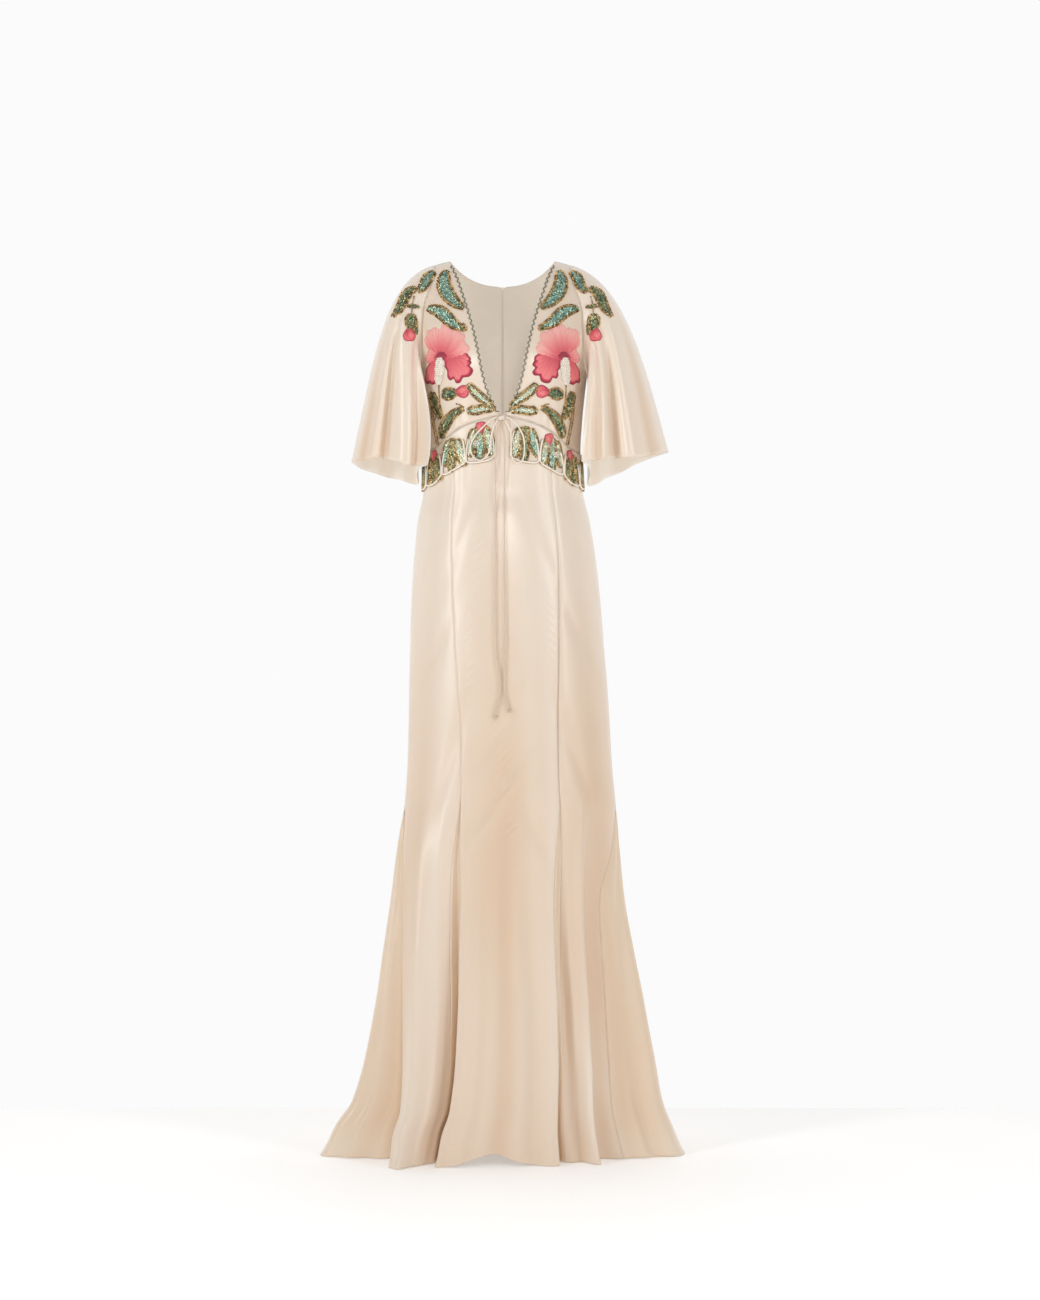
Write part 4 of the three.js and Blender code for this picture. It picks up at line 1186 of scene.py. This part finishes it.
def add_tie():
    lift = LAID + BAND_WALL + LAID + CORD / 2
    centre = in_front(np.float64(KNOT_X), np.float64(KNOT_H), KNOT_LIFT)
    knot = knot_piece("tie_knot", centre, (5.6, 3.4, 4.4), 3)
    for word, loop, tail in (("left", LOOP_LEFT, TAIL_LEFT), ("right", LOOP_RIGHT, TAIL_RIGHT)):
        path = smooth_path(on_front(loop, lift + 0.6), CORD_STEP)
        # Little painted shade on the loops; the tails and their end knots carry much more
        piece = tie_cord(f"tie_loop_{word}", path, 0.1)
        declare_cord(path)
        path = smooth_path(on_front(tail, lift), CORD_STEP)
        piece = tie_cord(f"tie_tail_{word}", path, 0.75)
        middle = path[-1] + unit(path[-1] - path[-3]) * END_KNOT
        end = knot_piece(f"tie_end_{word}", middle, (2.9, 2.8, 3.2), 2, 0.85)
        declare_cord(path)


def mirrored(side, angle):
    return angle if side > 0 else 180 - angle


# Each leaf: x, height, angle, length, width, bend, sway and look, for the right side
BODICE_LEAVES = [
    (94, 1490, -96, 84, 19, -88, 1, "aqua"),
    (125, 1424, -152, 76, 16, 18, -3, "aqua"),
    (56, 1291, -134, 58, 9.5, -12, 1, "gold"),
    (57, 1248, 178, 43, 9.2, 14, 1, "gold"),
    (99, 1205, 113, 64, 11, 76, 0, "olive"),
    (117, 1283, -106, 50, 9.2, -14, 0, "olive"),
]
SLEEVE_LEAVES = [
    (114, 1489, -50, 46, 13, -8, 2, "aqua"),
    (145, 1460, -50, 62, 13, -22, 3, "olive"),
    (160, 1428, -178, 22, 4, 0, 0, "olive"),
    (146, 1412, -94, 34, 5, 8, 0, "olive"),
]
# The outer stem's beads and the stem of the bloom, as x and height on the right side
OUTER_STEM = [(119, 1258), (116.5, 1232), (111.5, 1208), (109, 1194)]
BLOOM_STEM = [(105, 1296), (105, 1282), (104, 1266), (108, 1250), (112, 1236)]
# Short curls of beads at the tips of leaves
CURLS = [
    [(50, 1256), (57, 1251), (56, 1243), (48, 1243)], [(65, 1393), (59.5, 1388), (60, 1381), (65, 1380)],
    [(76, 1260), (68, 1257), (67, 1250)], [(55, 1292), (60, 1287), (56, 1281)],
]


# What each look of leaf is sewn with and its tone: on the bodice and sleeves, and on the band
LEAF_LOOKS = {"aqua": (AQUA, 0.42), "gold": (AQUA, 0.86), "olive": (OLIVE, 0.56)}
LOBE_LEAF_LOOKS = {"aqua": (AQUA, 0.56), "gold": (AQUA, 0.92), "olive": (OLIVE, 0.7)}


def leaf_set(front, side, rows):
    for x, h, angle, length, width, bend, sway, look in rows:
        sequins, tone = LEAF_LOOKS[look]
        x = x + rng.uniform(-1.2, 1.2)
        turn = mirrored(side, angle + rng.uniform(-3, 3))
        leaf(front, side * x, h, turn, length, width, side * bend, side * sway, sequins, tone)


# A bloom's petals, the lowest first: x, height, angle, length, width, tones and shape
CORAL, PALE = (0.3, 0.58, 0.0, 0.3), (0.3, 0.88, 0.8, 0.1)
PETALS = (
    (91, 1345, -124, 57, 44, CORAL, {"frill": 0.22, "lobes": 7}),
    (84, 1340, -152, 34, 26, CORAL, {"frill": 0.12, "lobes": 6}),
    (105, 1344, -71, 52, 27, CORAL, {"frill": 0.12, "lobes": 6}),
    (100, 1334, 30, 30, 28, (0.34, 0.8, 0.5, 0.15), {"frill": 0.06, "lobes": 6}),
    (100, 1332, 150, 50, 30, PALE, {"frill": 0.1, "lobes": 8}),
    (102, 1332, 74, 60, 32, PALE, {"frill": 0.1, "lobes": 8}),
    (100, 1330, 121, 60, 34, PALE, {"frill": 0.12, "lobes": 8}),
    (101, 1330, 98, 66, 30, PALE, {"frill": 0.12, "lobes": 8}),
    (101, 1349, -88, 18, 26, (0.02, 0.15, 0.1, 0.2), {"pad": 2.2}),
)
# The column of pearls: its middle, top, height, lean and half width, then its pearls
PEARLS_X, PEARLS_TOP, PEARLS_TALL, PEARLS_LEAN, PEARLS_HALF = 102, 1337, 44, 3, 8.6
PEARL_PITCH, PEARL_RADIUS, PEARL_ROWS = 2.9, 1.75, 14


def bloom(front, side):
    """A bloom: a fan of pale petals over two frilled coral ones, with a column of pearls."""
    for x, h, angle, length, width, tones, shape in PETALS:
        petal(front, side * x, h, mirrored(side, angle), length, width, tones, **shape)
    pearl_column(front, side)
    bead_line(front, [(side * x, h) for x, h in BLOOM_STEM], 2.6, 3.0)
    for row in (0, 1):
        bead_line(front, [(side * (x - 3.3 * row), h) for x, h in OUTER_STEM], 3.0, BEAD_SIZE)
    for curl in CURLS:
        bead_line(front, [(side * x, h) for x, h in curl], BEAD_PITCH, BEAD_SIZE)


def pearl_column(front, side):
    """Rows of pearls on a padded ground down the middle of a bloom."""

    def half(down):
        return PEARLS_HALF * (np.sin(np.pi * (0.06 + 0.88 * down)) ** 0.35) * (1 - 0.36 * down)

    def seen(down, across):
        return side * PEARLS_X + side * PEARLS_LEAN * down + across, PEARLS_TOP - PEARLS_TALL * down

    down, wide = np.meshgrid(np.linspace(0, 1, 22), np.linspace(-1, 1, 9), indexing="ij")
    padded = front.at(*seen(down, wide * half(down)), 0.4 + 3.4 * (1 - wide**4))[0]
    PADDING.add(padded, 0.1 + 0 * down, wide)
    for row, part in enumerate(np.linspace(0.04, 0.95, PEARL_ROWS)):
        wide = np.arange(-3, 4) * PEARL_PITCH + (PEARL_PITCH / 2 if row % 2 else 0)
        wide = wide[np.abs(wide) < half(part)]
        spots = front.at(*seen(part + 0 * wide, wide), 4.4 - 0.05 * wide**2)
        PEARL.add(*spots, PEARL_RADIUS, 0.7, 0.3)


def bud(front, x, h, angle, size, side):
    turn = mirrored(side, angle)
    petal(front, x, h, turn, size, size * 0.86, (0.2, 0.5, 0.12, 0.2), frill=0.06, lobes=6, pad=2.2)
    petal(front, x, h, turn + 10, size * 0.86, size * 0.4, (0.3, 0.68, 0.2, 0.3), pad=2.9)


# A short stem of beads on each sleeve, as x and height on the right side
SLEEVE_STEM = [(148, 1444), (151, 1430), (152, 1414)]


def add_embroidery():
    for side, word in SIDES:
        fill_lobes(side)
    for side, word in SIDES:
        torso = Front(*GRIDS[f"bodice_front_{word}"])
        arm = Front(*GRIDS[f"sleeve_{word}"])
        leaf_set(torso, side, BODICE_LEAVES)
        bloom(torso, side)
        bud(torso, side * 79, 1279, 178, 24, side)
        leaf(torso, side * 100, 1277, mirrored(side, 179), 25, 15, 0, 0, OLIVE, 0.4)
        leaf_set(arm, side, SLEEVE_LEAVES)
        bead_line(arm, [(side * x, h) for x, h in SLEEVE_STEM], BEAD_PITCH, 3.0)
        leaf(arm, side * 153, 1414, -90, 28, 14, 0, 0, OLIVE, 0.6)
        bud(arm, side * 155.5, 1391, -90, 24, side)
    trims = (
        (AQUA, "aqua_sequins", SEQUIN_AQUA), (OLIVE, "olive_sequins", SEQUIN_OLIVE),
        (BRONZE, "bronze_beads", BRONZE_BEADS), (PEARL, "pearl_beads", PEARL_BEADS),
        (GROUND, "leaf_grounds", LEAF_GROUND), (STITCH, "satin_stitch", STITCHED),
        (PADDING, "pearl_padding", CORDING),
    )
    for trim, name, material in trims:
        trim.build(name, material)


# What fills each lobe, from the front centre back, on the left and right
LOBE_FILLS = {
    -1: ["aqua bud", "mixed", "olive bud", "olive", "mixed", "aqua", "olive", "mixed"],
    1: ["mixed", "aqua bud", "olive bud", "olive", "aqua", "mixed", "olive", "aqua"],
}
# Leaves fanned down a lobe: across from its middle, below its seam, angle, length, width
LOBE_FAN = [(-8, 13, -106, 51, 14), (1, 11, -91, 60, 14), (9, 15, -74, 49, 13)]
LOBE_BLUNT = 0.42
LOBE_LOOKS = {
    "aqua": ("gold", "aqua", "gold"), "mixed": ("gold", "olive", "aqua"), "olive": ("olive",) * 3,
}
BAND_RADIUS = 132.0
# The piping's width, and how far the brown tube of painted shadow lies behind it and is wider
PIPING, PIPING_STEP, PIPING_MORE = 3.4, 1.3, 1.2


class Round:
    """The band's cloth, unrolled: x is the run round the body from its front centre."""

    def at(self, x, h, lift):
        turn = np.asarray(x, float) / (BAND_RADIUS * RAD)
        normal = body_normal(turn, h)
        out = np.broadcast_to(lift, turn.shape)[..., None] + LAID + BAND_WALL
        return body(turn, h) + normal * out, normal


def fill_lobes(side):
    """Three leaves fanned down each lobe, and a bud with a rosette where the lobe has one."""
    cloth = Round()
    for lobe, fill in enumerate(LOBE_FILLS[side]):
        turn = LOBE_START + LOBE_PITCH * (lobe + 0.5)
        x, top = side * turn * RAD * BAND_RADIUS, float(under_bust(turn))
        short = float(mix(1, 0.85, ease(turn / LOBE_SHORTENS)))
        looks = LOBE_LOOKS[fill.split()[0]]
        for (across, below, angle, length, width), look in zip(LOBE_FAN, looks):
            length = length * short * rng.uniform(0.94, 1.03)
            way = mirrored(side, angle + rng.uniform(-4, 4))
            place = (x + side * across, top - below, way, length, width, side * 6, 0)
            leaf(cloth, *place, *LOBE_LEAF_LOOKS[look], LOBE_BLUNT)
        if "bud" in fill:
            bud(cloth, x + side * -4, top - 24, mirrored(side, 98), 22, side)
            rosette(cloth, PEARL if fill == "aqua bud" else BRONZE, x + side * 6, top - 38)


def rosette(front, beads, x, h):
    """A ring of pale beads round one more, over a lobe's leaves."""
    spin = np.arange(6) / 6 * 2 * np.pi
    rx, rh = np.append(x + 3.6 * np.cos(spin), x), np.append(h + 3.6 * np.sin(spin), h)
    beads.add(*front.at(rx, rh, 3.0), BEAD_SIZE / 2, 0.95, 0.05)


def add_lobes():
    """Cream piping round the edge of every lobe, over a brown tube that paints its shadow."""
    laid = LAID + BAND_WALL
    t, rise = np.linspace(0.02, 0.98, 34), np.linspace(0, 1, 12)
    for side, word in SIDES:
        surface = band(side)
        pipes = []
        for lobe in range(LOBES):
            low = surface(lobe + t, 0.02 + 0 * t, laid + 1.2)
            near = surface(lobe + 0.02 + 0.1 * rise**2, 0.02 + 0.66 * rise, laid + 1.6)
            far = surface(lobe + 0.98 + 0.02 * rise - 0.12 * rise**2, 0.02 + 0.6 * rise, laid + 1.3)
            pipes.append(np.vstack([near[::-1], low[1:-1], far]))
        under = [pipe - PIPING_STEP * unit(pipe * (1, 1, 0)) for pipe in pipes]
        joined_tubes(f"piping_{word}", pipes, PIPING / 2, CORDING)
        joined_tubes(f"piping_shadow_{word}", under, (PIPING + PIPING_MORE) / 2, PIPING_SHADOW)


def joined_tubes(name, paths, radius, material):
    count, points, faces = 0, [], []
    for path in paths:
        some, quads = tube_parts(path, radius, 8)
        points.append(some)
        faces.extend([k + count for k in quad] for quad in quads)
        count += len(some)
    points = np.concatenate(points)
    placed(mesh_object(name, points, faces, material, warm=np.zeros(len(points))))


# The zigzag's step along the v, how far in it runs, its swing each way, and its thread's radius
ZIGZAG_STEP, ZIGZAG_INSET, ZIGZAG_SWING, ZIGZAG_RADIUS = 5.0, 2.1, 2.2, 0.75
ZIGZAG_FROM, ZIGZAG_TO = 1246, 1504


def add_zigzag():
    """The zigzag edging down both sides of the v."""
    h = np.linspace(ZIGZAG_FROM, ZIGZAG_TO, 1200)
    x = NECK("x", h)
    run = run_of(x, h)
    corners = np.arange(int(run[-1] / ZIGZAG_STEP) + 1)
    x, h = (np.interp(corners * ZIGZAG_STEP, run, line) for line in (x, h))
    slope = np.gradient(x, h)
    off = (ZIGZAG_INSET + ZIGZAG_SWING * np.where(corners % 2, 1, -1)) / np.hypot(1, slope)
    steps = np.arange(0, corners[-1], 0.25)
    for side, word in SIDES:
        front = Front(*GRIDS[f"bodice_front_{word}"])
        path = front.at(side * (x + off), h - off * slope, 0.9)[0]
        fine = np.stack([np.interp(steps, corners, line) for line in path.T], -1)
        placed(tube_piece(f"zigzag_{word}", fine, ZIGZAG_RADIUS, 6, TRIM_THREAD))


# Shares of a front's or back's rise between which the neck is bound
BIND_FROM, BIND_TO = 0.01, 0.995


def add_neck_binding():
    """The narrow rolled edge round the neck, from the base of the v up and round the back."""
    for side, word in SIDES:
        up = np.linspace(BIND_FROM, BIND_TO, 70)[::3]
        down = np.linspace(BIND_TO, BACK_SHARE + 0.01, 40)[::2]
        front = bodice(side, front_edge, "before")(0 * up, up)
        back = bodice(side, back_edge, "behind")(0 * down, down)
        path = smooth_path(np.vstack([front, back]), 3.0)
        placed(tube_piece(f"neck_binding_{word}", path, 0.8, 8, CORDING, warm=0.2))


add_camera()
add_world()
for light in LIGHTS:
    add_light(*light)
add_floor()
add_skirt()
add_bodice()
add_sleeves()
add_band()
add_tie()
add_embroidery()
add_lobes()
add_zigzag()
add_neck_binding()
